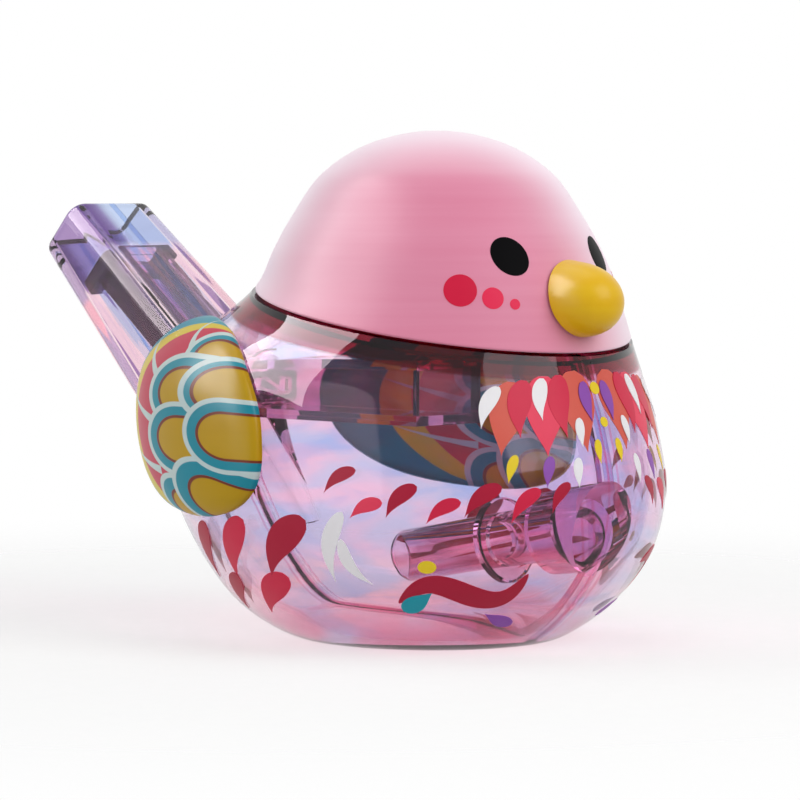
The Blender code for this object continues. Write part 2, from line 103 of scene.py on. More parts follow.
# %% [markdown]
# ## The skin that belly and head share
#
# A mould for such a bird is cut from one smooth skin, and the rim plane parts it into body and head. The skin
# is drawn through stations: at each height they give how far the breast, the rump and the sides reach. A
# smooth curve through the stations and an oval at every height make the whole form, so one function can give
# any point of it, at any depth under the surface. Ink, walls and wings all ask this function where they lie.

# %% Stations of the skin
HEIGHT = 0.060
BREAST_REACH = 0.0275
RUMP_REACH = 0.0360
BELLY_HALF_WIDTH = 0.0280
STATIONS = np.array([
    (0.000, 0.490, 0.430, 0.500),
    (0.022, 0.612, 0.555, 0.643),
    (0.083, 0.780, 0.695, 0.811),
    (0.183, 0.940, 0.825, 0.944),
    (0.300, 1.000, 0.940, 1.000),
    (0.417, 0.955, 1.000, 1.000),
    (0.517, 0.877, 0.985, 0.975),
    (0.583, 0.832, 0.895, 0.915),
    (0.642, 0.808, 0.723, 0.818),
    (0.700, 0.780, 0.599, 0.738),
    (0.767, 0.720, 0.545, 0.675),
    (0.833, 0.638, 0.483, 0.598),
    (0.917, 0.504, 0.381, 0.472),
    (0.977, 0.284, 0.215, 0.266),
    (1.000, 0.000, 0.000, 0.000),
])
SKIN_SIZES = np.array((HEIGHT, BREAST_REACH, RUMP_REACH, BELLY_HALF_WIDTH))
SKIN_SEGMENTS = 160
ROWS_PER_STATION = 6
SKIN_ROWS = (len(STATIONS) - 1) * ROWS_PER_STATION
print("skin of", SKIN_ROWS, "rows by", SKIN_SEGMENTS, "segments")


# %% Points of the skin
def full_turn(count):
    """Evenly spaced angles round a circle."""
    return np.linspace(0, 2 * math.pi, count, endpoint=False)


def station_curve(place):
    """Height, breast, rump and half width along the stations' smooth curve, and how fast each changes."""
    rows = STATIONS * SKIN_SIZES
    under = rows[0] + (rows[0] - rows[1]) * (-1, 1, 1, 1)
    beyond = rows[-2] * (1, -1, -1, -1)
    knots = np.vstack((under, rows, beyond))
    first = np.clip(np.floor(place).astype(int), 0, len(rows) - 2)
    share = (place - first)[..., None]
    a, b, c, d = (knots[first + step] for step in range(4))
    linear, square, cube = c - a, 2 * a - 5 * b + 4 * c - d, 3 * b - a - 3 * c + d
    value = 0.5 * (2 * b + linear * share + square * share ** 2 + cube * share ** 3)
    return value, 0.5 * (linear + 2 * square * share + 3 * cube * share ** 2)


FINE_STEPS = 2801
FINE_PLACES = np.linspace(0, len(STATIONS) - 1, FINE_STEPS)
FINE_HEIGHTS = station_curve(FINE_PLACES)[0][..., 0]


def place_at(height):
    """Where along the stations' curve a height lies."""
    return np.interp(height, FINE_HEIGHTS, FINE_PLACES)


def skin_frame(place, angle):
    """Point, outward normal and the two directions along the skin. Angles run from the beak to its left."""
    place, angle = np.broadcast_arrays(np.asarray(place, float), np.asarray(angle, float))
    value, slope = station_curve(place)
    middle, half = (value[..., 1] - value[..., 2]) / 2, (value[..., 1] + value[..., 2]) / 2
    point = np.stack((value[..., 3] * np.sin(angle),
                      HEAD_AXIS_Y - middle - half * np.cos(angle), value[..., 0]), -1)
    around = np.stack((value[..., 3] * np.cos(angle), half * np.sin(angle), 0 * angle), -1)
    run = (slope[..., 1] - slope[..., 2]) / 2 + (slope[..., 1] + slope[..., 2]) / 2 * np.cos(angle)
    along = np.stack((slope[..., 3] * np.sin(angle), -run, slope[..., 0]), -1)
    normal = np.cross(around, along)
    normal /= np.maximum(np.linalg.norm(normal, axis=-1, keepdims=True), 1e-12)
    return point, normal, around, along


def skin_point(place, angle, depth=0.0):
    """A point some way under the skin."""
    point, normal, _, _ = skin_frame(place, angle)
    return point - np.asarray(depth)[..., None] * normal if np.ndim(depth) else point - depth * normal


print("widest at", round(float(2000 * skin_point(place_at(0.022), math.pi / 2)[0]), 1), "mm across")

# %% [markdown]
# ## Tools for building meshes
#
# Most parts are lofts: rings of points joined into a tube, closed at the ends by a face or a single point.
# Holes and unions come from Blender's exact Boolean, applied at once so that each part is one closed mesh.
# Every finished part rides on the frame's only body and names the plain solid that it stands for.

# %% Lofts and Booleans
FAR = 0.2


def new_piece(name, points, faces):
    mesh = bpy.data.meshes.new(name)
    mesh.from_pydata([tuple(point) for point in points], [], faces)
    shell = bmesh.new()
    shell.from_mesh(mesh)
    bmesh.ops.recalc_face_normals(shell, faces=shell.faces)
    shell.to_mesh(mesh)
    shell.free()
    return new_object(name, mesh)


def loft(name, rings, first_pole=None, last_pole=None, looped=False):
    """A closed mesh through rings of equal count. Its ends get a flat face or a pole, or meet in a loop."""
    count = len(rings[0])
    points = [point for ring in rings for point in ring]
    faces = []
    for row in range(len(rings) if looped else len(rings) - 1):
        low, high = row * count, (row + 1) % len(rings) * count
        for index in range(count):
            after = (index + 1) % count
            faces.append((low + index, low + after, high + after, high + index))
    last = (len(rings) - 1) * count
    for start, pole in () if looped else ((0, first_pole), (last, last_pole)):
        if pole is None:
            faces.append(tuple(start + index for index in range(count)))
        else:
            points.append(pole)
            faces += [(start + index, start + (index + 1) % count, len(points) - 1) for index in range(count)]
    return new_piece(name, points, faces)


def block(name, low, high):
    corners = [(x, y, z) for z in (low[2], high[2]) for y in (low[1], high[1]) for x in (low[0], high[0])]
    faces = [(0, 2, 3, 1), (4, 5, 7, 6), (0, 1, 5, 4), (1, 3, 7, 5), (3, 2, 6, 7), (2, 0, 4, 6)]
    return new_piece(name, corners, faces)


def combine(target, tool, operation="DIFFERENCE"):
    """Applies one exact Boolean to the target and removes the tool."""
    step = target.modifiers.new("combine", "BOOLEAN")
    step.operation = operation
    step.solver = "EXACT"
    step.object = tool
    bpy.context.view_layer.update()
    result = bpy.data.meshes.new_from_object(target.evaluated_get(bpy.context.evaluated_depsgraph_get()))
    target.modifiers.clear()
    spare = target.data
    target.data = result
    bpy.data.meshes.remove(spare)
    bpy.data.objects.remove(tool, do_unlink=True)
    return target


def dress(piece, finish, slot, *stands_for, crease=35):
    """Gives a part its finish and smooth shading, and hangs it on the frame."""
    piece.data.materials.clear()
    piece.data.materials.append(finish)
    piece.data.shade_smooth()
    piece.data.set_sharp_from_angle(angle=math.radians(crease))
    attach(piece, "root")
    if stands_for:
        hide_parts(*stands_for)
    print(piece.name, "has", len(piece.data.polygons), "faces")
    return piece


# %% Skin solids and rim planes
NECK_STATION = 8
RIM_BELOW_NECK = 0.0002
RIM_HEIGHT = STATIONS[NECK_STATION, 0] * HEIGHT - RIM_BELOW_NECK
RIM_TILT = math.radians(10.5)
RIM_PLACES, RIM_HALVINGS = (5.0, 12.0), 40


def skin_solid(name, depth):
    rows = np.arange(SKIN_ROWS)[:, None] / ROWS_PER_STATION
    angles = full_turn(SKIN_SEGMENTS)[None]
    return loft(name, skin_point(rows, angles, depth), last_pole=(0, HEAD_AXIS_Y, HEIGHT - depth))


def rim_slab(name, rise, above):
    """All space above, or below, a plane parallel to the rim."""
    low, high = (0, FAR) if above else (-FAR, 0)
    slab = block(name, (-FAR, -FAR, low), (FAR, FAR, high))
    slab.location = (0, HEAD_AXIS_Y, RIM_HEIGHT + rise)
    slab.rotation_euler.x = RIM_TILT
    return slab


def place_at_rim(angles, depth, rise):
    """Where the rim plane, raised a little, meets the skin at each angle, found by halving."""
    low, high = (np.full_like(angles, place) for place in RIM_PLACES)
    for _ in range(RIM_HALVINGS):
        middle = (low + high) / 2
        points = skin_point(middle, angles, depth)
        over = points[..., 2] - (RIM_HEIGHT + rise + math.tan(RIM_TILT) * (points[..., 1] - HEAD_AXIS_Y)) > 0
        high, low = np.where(over, middle, high), np.where(over, low, middle)
    return (low + high) / 2


# %% [markdown]
# ## Finishes
#
# Moulded plastic is never one flat colour: flow in the mould leaves faint streaks, and the polish of the tool
# leaves a faint ripple. One node group gives both to every opaque part. Clear plastic takes its look in two
# ways. Its depth darkens it, which the volume does, so that edges seen end-on turn deep pink. And a second
# group paints on it, as soft bands, the light, shade and reflections of a coloured studio: pink from below,
# lilac and blue higher up.

# %% Node helpers
WHITE = (1.0, 1.0, 1.0, 1.0)


def linear(red, green, blue):
    """A colour as the eye names it, 0 to 255, in the linear values that shaders take."""
    return tuple(((c / 255 + 0.055) / 1.055) ** 2.4 if c > 10.3 else c / 255 / 12.92
                 for c in (red, green, blue)) + (1.0,)


def add_node(tree, kind, place=(0, 0), **settings):
    node = tree.nodes.new(kind)
    node.location = place
    for name, value in settings.items():
        setattr(node, name, value)
    return node


def feed(tree, source, socket):
    """Links an output to an input, or writes a plain value there."""
    if isinstance(source, bpy.types.NodeSocket):
        tree.links.new(source, socket)
    else:
        socket.default_value = source


def feed_all(tree, node, **sources):
    """Feeds inputs by their names, written with underscores for spaces."""
    for label, source in sources.items():
        feed(tree, source, node.inputs[label.replace("_", " ")])
    return node


def calculate(tree, kind, operation, sources):
    node = add_node(tree, kind, operation=operation)
    for socket, source in zip(node.inputs, sources):
        feed(tree, source, socket)
    return node.outputs


def math_node(tree, operation, *sources):
    return calculate(tree, "ShaderNodeMath", operation, sources)[0]


def vector_math(tree, operation, *sources):
    outputs = calculate(tree, "ShaderNodeVectorMath", operation, sources)
    return outputs["Value" if operation == "LENGTH" else "Vector"]


def mix_colour(tree, factor, first, second, blend="MIX"):
    node = add_node(tree, "ShaderNodeMix", data_type="RGBA", blend_type=blend)
    for index, source in ((0, factor), (6, first), (7, second)):
        feed(tree, source, node.inputs[index])
    return node.outputs[2]


def soft_rise(tree, value, low, high, bottom=0.0, top=1.0):
    """Rises smoothly from bottom to top while the value goes from low to high."""
    node = add_node(tree, "ShaderNodeMapRange", interpolation_type="SMOOTHSTEP")
    feed_all(tree, node, Value=value, From_Min=low, From_Max=high, To_Min=bottom, To_Max=top)
    return node.outputs[0]


def smooth_step(tree, value, edge, softness):
    """0 inside an edge and 1 outside it, with a soft border."""
    low, high = (math_node(tree, operation, edge, softness) for operation in ("SUBTRACT", "ADD"))
    return soft_rise(tree, value, low, high)


def noise(tree, vector, scale, detail=2.0, distortion=0.0):
    node = add_node(tree, "ShaderNodeTexNoise")
    feed_all(tree, node, Vector=vector, Scale=scale, Detail=detail, Distortion=distortion)
    return node.outputs["Fac"]


def object_place(tree):
    return add_node(tree, "ShaderNodeTexCoord").outputs["Object"]


def stretched(tree, vector, scale):
    return feed_all(tree, add_node(tree, "ShaderNodeMapping"), Vector=vector, Scale=scale).outputs[0]


def rotated(tree, vector, axis, angle):
    node = add_node(tree, "ShaderNodeVectorRotate", rotation_type=axis + "_AXIS")
    return feed_all(tree, node, Vector=vector, Angle=angle).outputs[0]


def split(tree, vector):
    return feed_all(tree, add_node(tree, "ShaderNodeSeparateXYZ"), Vector=vector).outputs


def colours(*labels):
    return [(label, "Color", WHITE) for label in labels]


def numbers(**values):
    return [(label.replace("_", " "), "Float", value) for label, value in values.items()]


def new_group(name, inputs, outputs=(("Colour", "Color"),)):
    """A node group with named sockets. Gives the tree and its two ends."""
    tree = bpy.data.node_groups.new(name, "ShaderNodeTree")
    for direction, sockets in (("INPUT", inputs), ("OUTPUT", outputs)):
        for label, kind, *value in sockets:
            socket = tree.interface.new_socket(label, in_out=direction, socket_type="NodeSocket" + kind)
            if value:
                socket.default_value = value[0]
    start, end = add_node(tree, "NodeGroupInput", (-900, 0)), add_node(tree, "NodeGroupOutput", (900, 0))
    return tree, start.outputs, end.inputs


def use_group(tree, group, **sources):
    return feed_all(tree, add_node(tree, "ShaderNodeGroup", node_tree=group), **sources)


# %% Moulding streaks, for every opaque part
STREAK_DETAIL, STREAK_HEIGHT = 3.0, 0.35
RIPPLE_FINENESS, ROUGHNESS_SPREAD = 260.0, 0.10


def make_moulding_streaks():
    """Flow streaks round a part, and the ripple of the mould's polish."""
    tree, given, result = new_group(
        "moulding streaks",
        colours("Colour", "Streak Colour")
        + numbers(Streaks=0.4, Streak_Length=0.03, Fineness=900.0, Roughness=0.35),
        (("Colour", "Color"), ("Roughness", "Float"), ("Height", "Float")))
    length = feed_all(tree, add_node(tree, "ShaderNodeCombineXYZ"), X=given["Streak Length"],
                      Y=given["Streak Length"], Z=1.0)
    place = object_place(tree)
    streak = noise(tree, stretched(tree, place, length.outputs[0]), given["Fineness"], STREAK_DETAIL)
    amount = math_node(tree, "MULTIPLY", streak, given["Streaks"])
    feed(tree, mix_colour(tree, amount, given["Colour"], given["Streak Colour"]), result["Colour"])
    ripple = noise(tree, place, RIPPLE_FINENESS)
    spread = math_node(tree, "MULTIPLY_ADD", ripple, ROUGHNESS_SPREAD, -ROUGHNESS_SPREAD / 2)
    feed(tree, math_node(tree, "ADD", given["Roughness"], spread), result["Roughness"])
    feed(tree, math_node(tree, "MULTIPLY_ADD", streak, STREAK_HEIGHT, ripple), result["Height"])
    return tree


# %% Painted studio light and reflections, for the clear parts
# Painted bands by height: the deeper pink Toe under them is painted shade at the foot, and Foot, Waist and
# Shoulder paint the studio's light.
PAINTED_LIGHT_STEPS = (("Foot", 0.0010, 0.0050), ("Waist", 0.0108, 0.0126), ("Shoulder", 0.024, 0.035))
WAVE_FINENESS, WAVE_HEIGHT, WAVE_BACK = 45.0, 0.005, 0.012
BACK_FROM_AXIS = (0.008, 0.026)
SWIRL_STRETCH, SWIRL_FINENESS, SWIRL_DETAIL, SWIRL_TWIST = (1, 1, 2.6), 60.0, 3.0, 1.2
SWIRL_LEVELS = (0.42, 0.66)
RIM_BAND_BLUR, RIM_BAND_ENDS_BEHIND_AXIS = 0.0002, 0.0245
SEAM_LINE_FROM_MIDDLE, SEAM_LINE_HALF_WIDTH = 0.00085, 0.00020


def make_painted_studio_wash():
    """Paints the light, shade and reflections of a coloured studio: soft bands up the bird, with cooler
    swirls.
    """
    tree, given, result = new_group(
        "painted studio wash",
        colours("Toe", "Foot", "Waist", "Shoulder", "Back", "Swirl", "Glue", "Seam")
        + numbers(Swirls=0.5, Glue_Height=0.0, Seam_Strength=0.0))
    place = object_place(tree)
    parts = split(tree, place)
    wave = noise(tree, place, WAVE_FINENESS)
    height = math_node(tree, "MULTIPLY_ADD", wave, WAVE_HEIGHT, parts["Z"])
    height = math_node(tree, "SUBTRACT", height, WAVE_HEIGHT / 2)
    colour = given["Toe"]
    for label, low, high in PAINTED_LIGHT_STEPS:
        colour = mix_colour(tree, soft_rise(tree, height, low, high), colour, given[label])
    from_axis = math_node(tree, "SUBTRACT", parts["Y"], HEAD_AXIS_Y)
    waved = math_node(tree, "MULTIPLY_ADD", wave, WAVE_BACK, from_axis)
    # Painted light: paler towards the rump.
    colour = mix_colour(tree, soft_rise(tree, waved, *BACK_FROM_AXIS), colour, given["Back"])
    # Painted reflections: cooler swirls of blue and lilac.
    swirl = noise(tree, stretched(tree, place, SWIRL_STRETCH), SWIRL_FINENESS, SWIRL_DETAIL, SWIRL_TWIST)
    amount = math_node(tree, "MULTIPLY", soft_rise(tree, swirl, *SWIRL_LEVELS), given["Swirls"])
    colour = mix_colour(tree, amount, colour, given["Swirl"])
    # A dark maroon band painted just under the head's rim, stopping short of the tail.
    over_rim = math_node(tree, "SUBTRACT", parts["Z"], RIM_HEIGHT)
    over_rim = math_node(tree, "MULTIPLY_ADD", from_axis, -math.tan(RIM_TILT), over_rim)
    rim_band = soft_rise(tree, math_node(tree, "ADD", over_rim, given["Glue Height"]), -RIM_BAND_BLUR, RIM_BAND_BLUR)
    rim_band = math_node(tree, "MULTIPLY", rim_band, math_node(tree, "LESS_THAN", from_axis, RIM_BAND_ENDS_BEHIND_AXIS))
    colour = mix_colour(tree, rim_band, colour, given["Glue"])
    # Two pink lines painted either side of the middle plane: painted highlights along the weld seam.
    from_line = math_node(tree, "SUBTRACT", math_node(tree, "ABSOLUTE", parts["X"]), SEAM_LINE_FROM_MIDDLE)
    line = math_node(tree, "LESS_THAN", math_node(tree, "ABSOLUTE", from_line), SEAM_LINE_HALF_WIDTH)
    line = math_node(tree, "MULTIPLY", line, given["Seam Strength"])
    feed(tree, mix_colour(tree, line, colour, given["Seam"]), result["Colour"])
    return tree


# %% Painted reflections along the tail
TAIL_BAND_SLOPE = math.radians(42.1)
TAIL_BAND_TIP = (HEAD_AXIS_Y + 0.0566) * math.cos(TAIL_BAND_SLOPE) + 0.0516 * math.sin(TAIL_BAND_SLOPE)
TAIL_MOUTH_BAND, TAIL_BAND_LENGTH = 0.0085, 0.028
BAND_STRETCH, BAND_FINENESS, BAND_DETAIL, BAND_TWIST = (1.0, 0.08, 1.0), 420.0, 1.5, 0.3
BAND_LEVELS, BAND_BLUR = (("Lilac", 0.36), ("Blush", 0.43), ("Sky", 0.60)), 0.012
MOUTH_DEEP_SIDE, MOUTH_BLUR, MOUTH_END_BLUR, BAND_END_BLUR = -0.0026, 0.0012, 0.0006, 0.004


def make_painted_tail_bands():
    """Painted reflections: bright and dark bands along the tail, as its long flat faces pick them up in the
    studio, and a painted colour on its sides.
    """
    tree, given, result = new_group(
        "painted tail bands", colours("Under", "Deep", "Lilac", "Sky", "Blush", "Side") + numbers(Side_From=1.0))
    lengthways = rotated(tree, object_place(tree), "X", -TAIL_BAND_SLOPE)
    place = split(tree, lengthways)
    band = noise(tree, vector_math(tree, "MULTIPLY", lengthways, BAND_STRETCH),
                 BAND_FINENESS, BAND_DETAIL, BAND_TWIST)
    colour = given["Deep"]
    for label, level in BAND_LEVELS:
        colour = mix_colour(tree, smooth_step(tree, band, level, BAND_BLUR), colour, given[label])
    across = smooth_step(tree, place["X"], MOUTH_DEEP_SIDE, MOUTH_BLUR)
    mouth = mix_colour(tree, across, given["Deep"], given["Sky"])
    from_tip = math_node(tree, "SUBTRACT", TAIL_BAND_TIP, place["Y"])
    colour = mix_colour(tree, smooth_step(tree, from_tip, TAIL_MOUTH_BAND, MOUTH_END_BLUR), mouth, colour)
    # Painted light and shade on the sides: past a distance from the middle plane they take one colour, pale
    # on the pink tail and dark shade on the violet insert.
    beside = math_node(tree, "GREATER_THAN", math_node(tree, "ABSOLUTE", place["X"]), given["Side From"])
    colour = mix_colour(tree, beside, colour, given["Side"])
    ended = smooth_step(tree, from_tip, TAIL_BAND_LENGTH, BAND_END_BLUR)
    feed(tree, mix_colour(tree, ended, colour, given["Under"]), result["Colour"])
    return tree


MOULDING_STREAKS = make_moulding_streaks()
PAINTED_STUDIO_WASH = make_painted_studio_wash()
PAINTED_TAIL_BANDS = make_painted_tail_bands()
print("node groups:", [group.name for group in bpy.data.node_groups])


# %% The kinds of plastic
RIPPLE_DEPTH = 0.0001
SOFT_REFLECTION = (0.60, 0.52, 0.56, 1.0)
# How far the painted sheen on the head pales its colour as the surface turns from the eye.
PAINTED_SHEEN_FROM, PAINTED_SHEEN_TO, PAINTED_SHEEN_MOST = 0.16, 0.90, 0.85


def new_material(name, colour):
    """A material, its node tree and its shader."""
    material = bpy.data.materials.new(name)
    material.use_nodes = True
    material.diffuse_color = colour
    return material, material.node_tree, material.node_tree.nodes["Principled BSDF"]


def opaque_plastic(name, colour, streak_colour, roughness, streaks=0.5, ripple=0.02, gloss=0.5,
                   clearness=0.0):
    material, tree, shader = new_material(name, colour)
    streak = use_group(tree, MOULDING_STREAKS, Colour=colour, Streak_Colour=streak_colour, Streaks=streaks,
                       Roughness=roughness).outputs
    bump = feed_all(tree, add_node(tree, "ShaderNodeBump"), Distance=RIPPLE_DEPTH, Strength=ripple,
                    Height=streak["Height"])
    feed_all(tree, shader, Base_Color=streak["Colour"], Roughness=streak["Roughness"], Normal=bump.outputs[0],
             Specular_IOR_Level=gloss, Transmission_Weight=clearness)
    return material


def clear_plastic(name, washes, bands, depth_colour, depth_density, lamp_tint):
    """Clear plastic: a skin with painted studio light and reflections, a volume that deepens it, and lamps
    let through.
    """
    material, tree, shader = new_material(name, washes["Waist"])
    wash = use_group(tree, PAINTED_STUDIO_WASH, **washes).outputs["Colour"]
    banded = use_group(tree, PAINTED_TAIL_BANDS, Under=wash, **bands).outputs["Colour"]
    feed_all(tree, shader, Base_Color=banded, Roughness=0.02, IOR=1.49, Transmission_Weight=1.0,
             Specular_Tint=SOFT_REFLECTION)
    through = feed_all(tree, add_node(tree, "ShaderNodeBsdfTransparent"), Color=lamp_tint)
    choose = add_node(tree, "ShaderNodeMixShader")
    shadow = add_node(tree, "ShaderNodeLightPath").outputs["Is Shadow Ray"]
    for socket, source in zip(choose.inputs, (shadow, shader.outputs[0], through.outputs[0])):
        feed(tree, source, socket)
    depth = add_node(tree, "ShaderNodeVolumeAbsorption")
    feed_all(tree, depth, Color=depth_colour, Density=depth_density)
    feed_all(tree, tree.nodes["Material Output"], Surface=choose.outputs[0], Volume=depth.outputs[0])
    return material


def pearly_plastic_with_painted_sheen(name, colour, streak_colour, pale, roughness):
    """Opaque pearly plastic with a painted sheen: paler wherever the surface turns away from the eye."""
    material = opaque_plastic(name, colour, streak_colour, roughness, streaks=0.6, gloss=0.16)
    tree = material.node_tree
    base = tree.nodes["Principled BSDF"].inputs["Base Color"]
    # The painted sheen: the base colour turns towards the pale colour where the surface faces away.
    turn = feed_all(tree, add_node(tree, "ShaderNodeLayerWeight"), Blend=0.5)
    away = soft_rise(tree, turn.outputs["Facing"], PAINTED_SHEEN_FROM, PAINTED_SHEEN_TO, top=PAINTED_SHEEN_MOST)
    feed(tree, mix_colour(tree, away, base.links[0].from_socket, pale), base)
    return material


# The body's wash and band colours are painted studio light, shade and reflections; the Seam lines are painted
# highlights.
CLEAR_PINK = clear_plastic(
    "clear pink plastic",
    dict(Toe=linear(224, 148, 182), Foot=linear(253, 219, 231), Waist=linear(236, 211, 236),
         Shoulder=linear(253, 238, 246), Back=linear(255, 240, 246), Swirl=linear(192, 218, 250), Swirls=0.75,
         Glue=linear(132, 14, 40), Glue_Height=0.0027, Seam=linear(232, 130, 172), Seam_Strength=0.8),
    dict(Deep=linear(104, 76, 148), Lilac=linear(246, 228, 244), Sky=linear(196, 218, 248),
         Blush=linear(255, 240, 246), Side=linear(255, 242, 244), Side_From=0.0062),
    depth_colour=linear(236, 116, 156), depth_density=44.0, lamp_tint=linear(254, 242, 247))
# The violet parts take the same painted studio reflections; their dark Side is painted shade on the insert's
# side walls.
CLEAR_VIOLET = clear_plastic(
    "clear violet plastic",
    dict(Toe=linear(254, 226, 238), Foot=linear(254, 226, 238), Waist=linear(253, 224, 238),
         Shoulder=linear(248, 190, 212), Back=linear(232, 176, 210), Swirl=linear(196, 84, 124), Swirls=0.6,
         Glue_Height=-1.0),
    dict(Deep=linear(120, 66, 124), Lilac=linear(234, 206, 230), Sky=linear(206, 208, 246),
         Blush=linear(244, 204, 228), Side=linear(52, 20, 54), Side_From=0.0030),
    depth_colour=linear(224, 116, 158), depth_density=26.0, lamp_tint=linear(250, 234, 242))
# The head: pearly pink, with the pale colour of its painted sheen.
PEARL_PINK = pearly_plastic_with_painted_sheen(
    "pearl pink plastic", linear(219, 128, 156), linear(232, 158, 184), linear(250, 236, 246), 0.36)
BEAK_YELLOW = opaque_plastic(
    "beak yellow plastic", linear(224, 172, 8), linear(234, 198, 30), 0.32, gloss=0.25)

# %% [markdown]
# ## The clear body
#
# The real body is two thin mouldings, each half a bird, welded along the middle plane. The same cuts are made
# here as on the solid part: the skin below the rim, joined to the tail and the two wing pads, then hollowed,
# and parted at last. Only the count of rows and segments is finer, because clear plastic bends what is seen
# through it and shows every facet. The halves overlap by a hair, fused as in the real weld, and a low bead
# runs inside along it. Pink lines painted along the bead's edges give it a double line of painted highlights.

# %% Walls, weld and fits
BODY_WALL = 0.0018
HEAD_WALL = 0.0018
SHOULDER_THICKNESS = 0.0016
SPIGOT_WALL = 0.0012
SPIGOT_HEIGHT = 0.0030
FIT_GAP = 0.0003
WELD_OVERLAP = 0.00004
WELD_BEAD_WIDTH = 0.0016
WELD_BEAD_DEPTH = 0.0007
OVERCUT = 0.002
ACROSS = Vector((-1, 0, 0))
SIDES = ((-1, "right"), (1, "left"))


def rounded_rectangle(width, depth, radius, corner_steps=10):
    outline = []
    for corner, (side, rise) in enumerate(((1, 1), (-1, 1), (-1, -1), (1, -1))):
        centre = (side * (width / 2 - radius), rise * (depth / 2 - radius))
        for step in range(corner_steps + 1):
            turn = math.pi / 2 * (corner + step / corner_steps)
            outline.append((centre[0] + radius * math.cos(turn), centre[1] + radius * math.sin(turn)))
    return outline


def oriented_ring(outline, centre, across, up):
    return [centre + across * u + up * v for u, v in outline]


# %% The tail
TAIL_PAST_RUMP = 0.0206
TAIL_TIP_ABOVE_RIM = 0.0133
TAIL_TIP_TOP = Vector((0, HEAD_AXIS_Y + RUMP_REACH + TAIL_PAST_RUMP, RIM_HEIGHT + TAIL_TIP_ABOVE_RIM))
TAIL_TOP_SLOPE = math.radians(38.6)
TAIL_SPREAD = math.radians(3.5)
TAIL_LENGTH = 0.048
TAIL_TIP_WIDTH, TAIL_ROOT_WIDTH, TAIL_TIP_DEPTH = 0.0138, 0.0180, 0.0088
TAIL_EDGE_RADIUS, TAIL_LIP_RADIUS, TAIL_LIP_STEPS = 0.0022, 0.0009, 8
TAIL_WALL, TAIL_HOLLOW_LENGTH, TAIL_HOLLOW_RADIUS = 0.0018, 0.0305, 0.0007


def tail_frame(slope):
    """Direction from tip to root, and the upward normal of that line."""
    return Vector((0, -math.cos(slope), -math.sin(slope))), Vector((0, -math.sin(slope), math.cos(slope)))


def tail_ring(distance, shrink, corner):
    inward, up = tail_frame(TAIL_TOP_SLOPE + TAIL_SPREAD)
    centre = TAIL_TIP_TOP - up * TAIL_TIP_DEPTH / 2 + inward * distance
    width = TAIL_TIP_WIDTH + (TAIL_ROOT_WIDTH - TAIL_TIP_WIDTH) * distance / TAIL_LENGTH
    depth = TAIL_TIP_DEPTH + 2 * math.tan(TAIL_SPREAD) * distance
    outline = rounded_rectangle(width - 2 * shrink, depth - 2 * shrink, corner)
    return oriented_ring(outline, centre, ACROSS, up)


def tail_solid():
    rings = []
    for turn in np.linspace(0, math.pi / 2, TAIL_LIP_STEPS):
        shrink = TAIL_LIP_RADIUS * (1 - math.sin(turn))
        rings.append(tail_ring(TAIL_LIP_RADIUS * (1 - math.cos(turn)), shrink, TAIL_EDGE_RADIUS - shrink))
    return loft("tail", rings + [tail_ring(TAIL_LENGTH, 0.0, TAIL_EDGE_RADIUS)])


def tail_hollow(name, start, end, margin):
    return loft(name, [tail_ring(place, TAIL_WALL + margin, TAIL_HOLLOW_RADIUS) for place in (start, end)])


# %% The windway's path
DUCT_WIDTH, DUCT_DEPTH, DUCT_CORNER = 0.0090, 0.0050, 0.0007
DUCT_BELOW_CEILING = 0.0001
WINDWAY_BEND_RADIUS = 0.012
BEND_STEPS = 14
CHAMBER_BACK = HEAD_AXIS_Y + RUMP_REACH - BODY_WALL - 0.0050
CHAMBER_SOCKET = 0.0020
MOUTH_BELOW_TOP = TAIL_WALL + DUCT_BELOW_CEILING + DUCT_DEPTH / 2
WINDWAY_MOUTH = TAIL_TIP_TOP - tail_frame(TAIL_TOP_SLOPE)[1] * MOUTH_BELOW_TOP


def windway_bend():
    """Distance from the mouth to the bend, and the bend's length."""
    level_at = CHAMBER_BACK + CHAMBER_SOCKET
    run = WINDWAY_MOUTH.y - level_at - WINDWAY_BEND_RADIUS * math.sin(TAIL_TOP_SLOPE)
    return run / math.cos(TAIL_TOP_SLOPE), WINDWAY_BEND_RADIUS * TAIL_TOP_SLOPE


def windway_at(distance):
    """Centre and upward normal of the windway: along the tail's ceiling, round a bend, then level."""
    inward, up = tail_frame(TAIL_TOP_SLOPE)
    bend_start, bend_length = windway_bend()
    if distance <= bend_start:
        return WINDWAY_MOUTH + inward * distance, up
    turned_up = tail_frame(TAIL_TOP_SLOPE - min(distance - bend_start, bend_length) / WINDWAY_BEND_RADIUS)[1]
    bend_centre = WINDWAY_MOUTH + inward * bend_start + up * WINDWAY_BEND_RADIUS
    level_run = max(distance - bend_start - bend_length, 0.0)
    return bend_centre - turned_up * WINDWAY_BEND_RADIUS + Vector((0, -level_run, 0)), turned_up


WINDWAY_END = sum(windway_bend()) + 2 * CHAMBER_SOCKET


def duct_solid(name, start, end, margin):
    outline = rounded_rectangle(DUCT_WIDTH + 2 * margin, DUCT_DEPTH + 2 * margin, DUCT_CORNER, corner_steps=5)
    bend_start, bend_length = windway_bend()
    bends = [bend_start + bend_length * step / BEND_STEPS for step in range(BEND_STEPS + 1)]
    rings = []
    for place in [start] + [place for place in bends if start < place < end] + [end]:
        centre, up = windway_at(place)
        rings.append(oriented_ring(outline, centre, ACROSS, up))
    return loft(name, rings)


print("windway is", round(WINDWAY_END * 1000, 1), "mm long and levels out at z =",
      round(windway_at(WINDWAY_END)[0].z * 1000, 1), "mm")

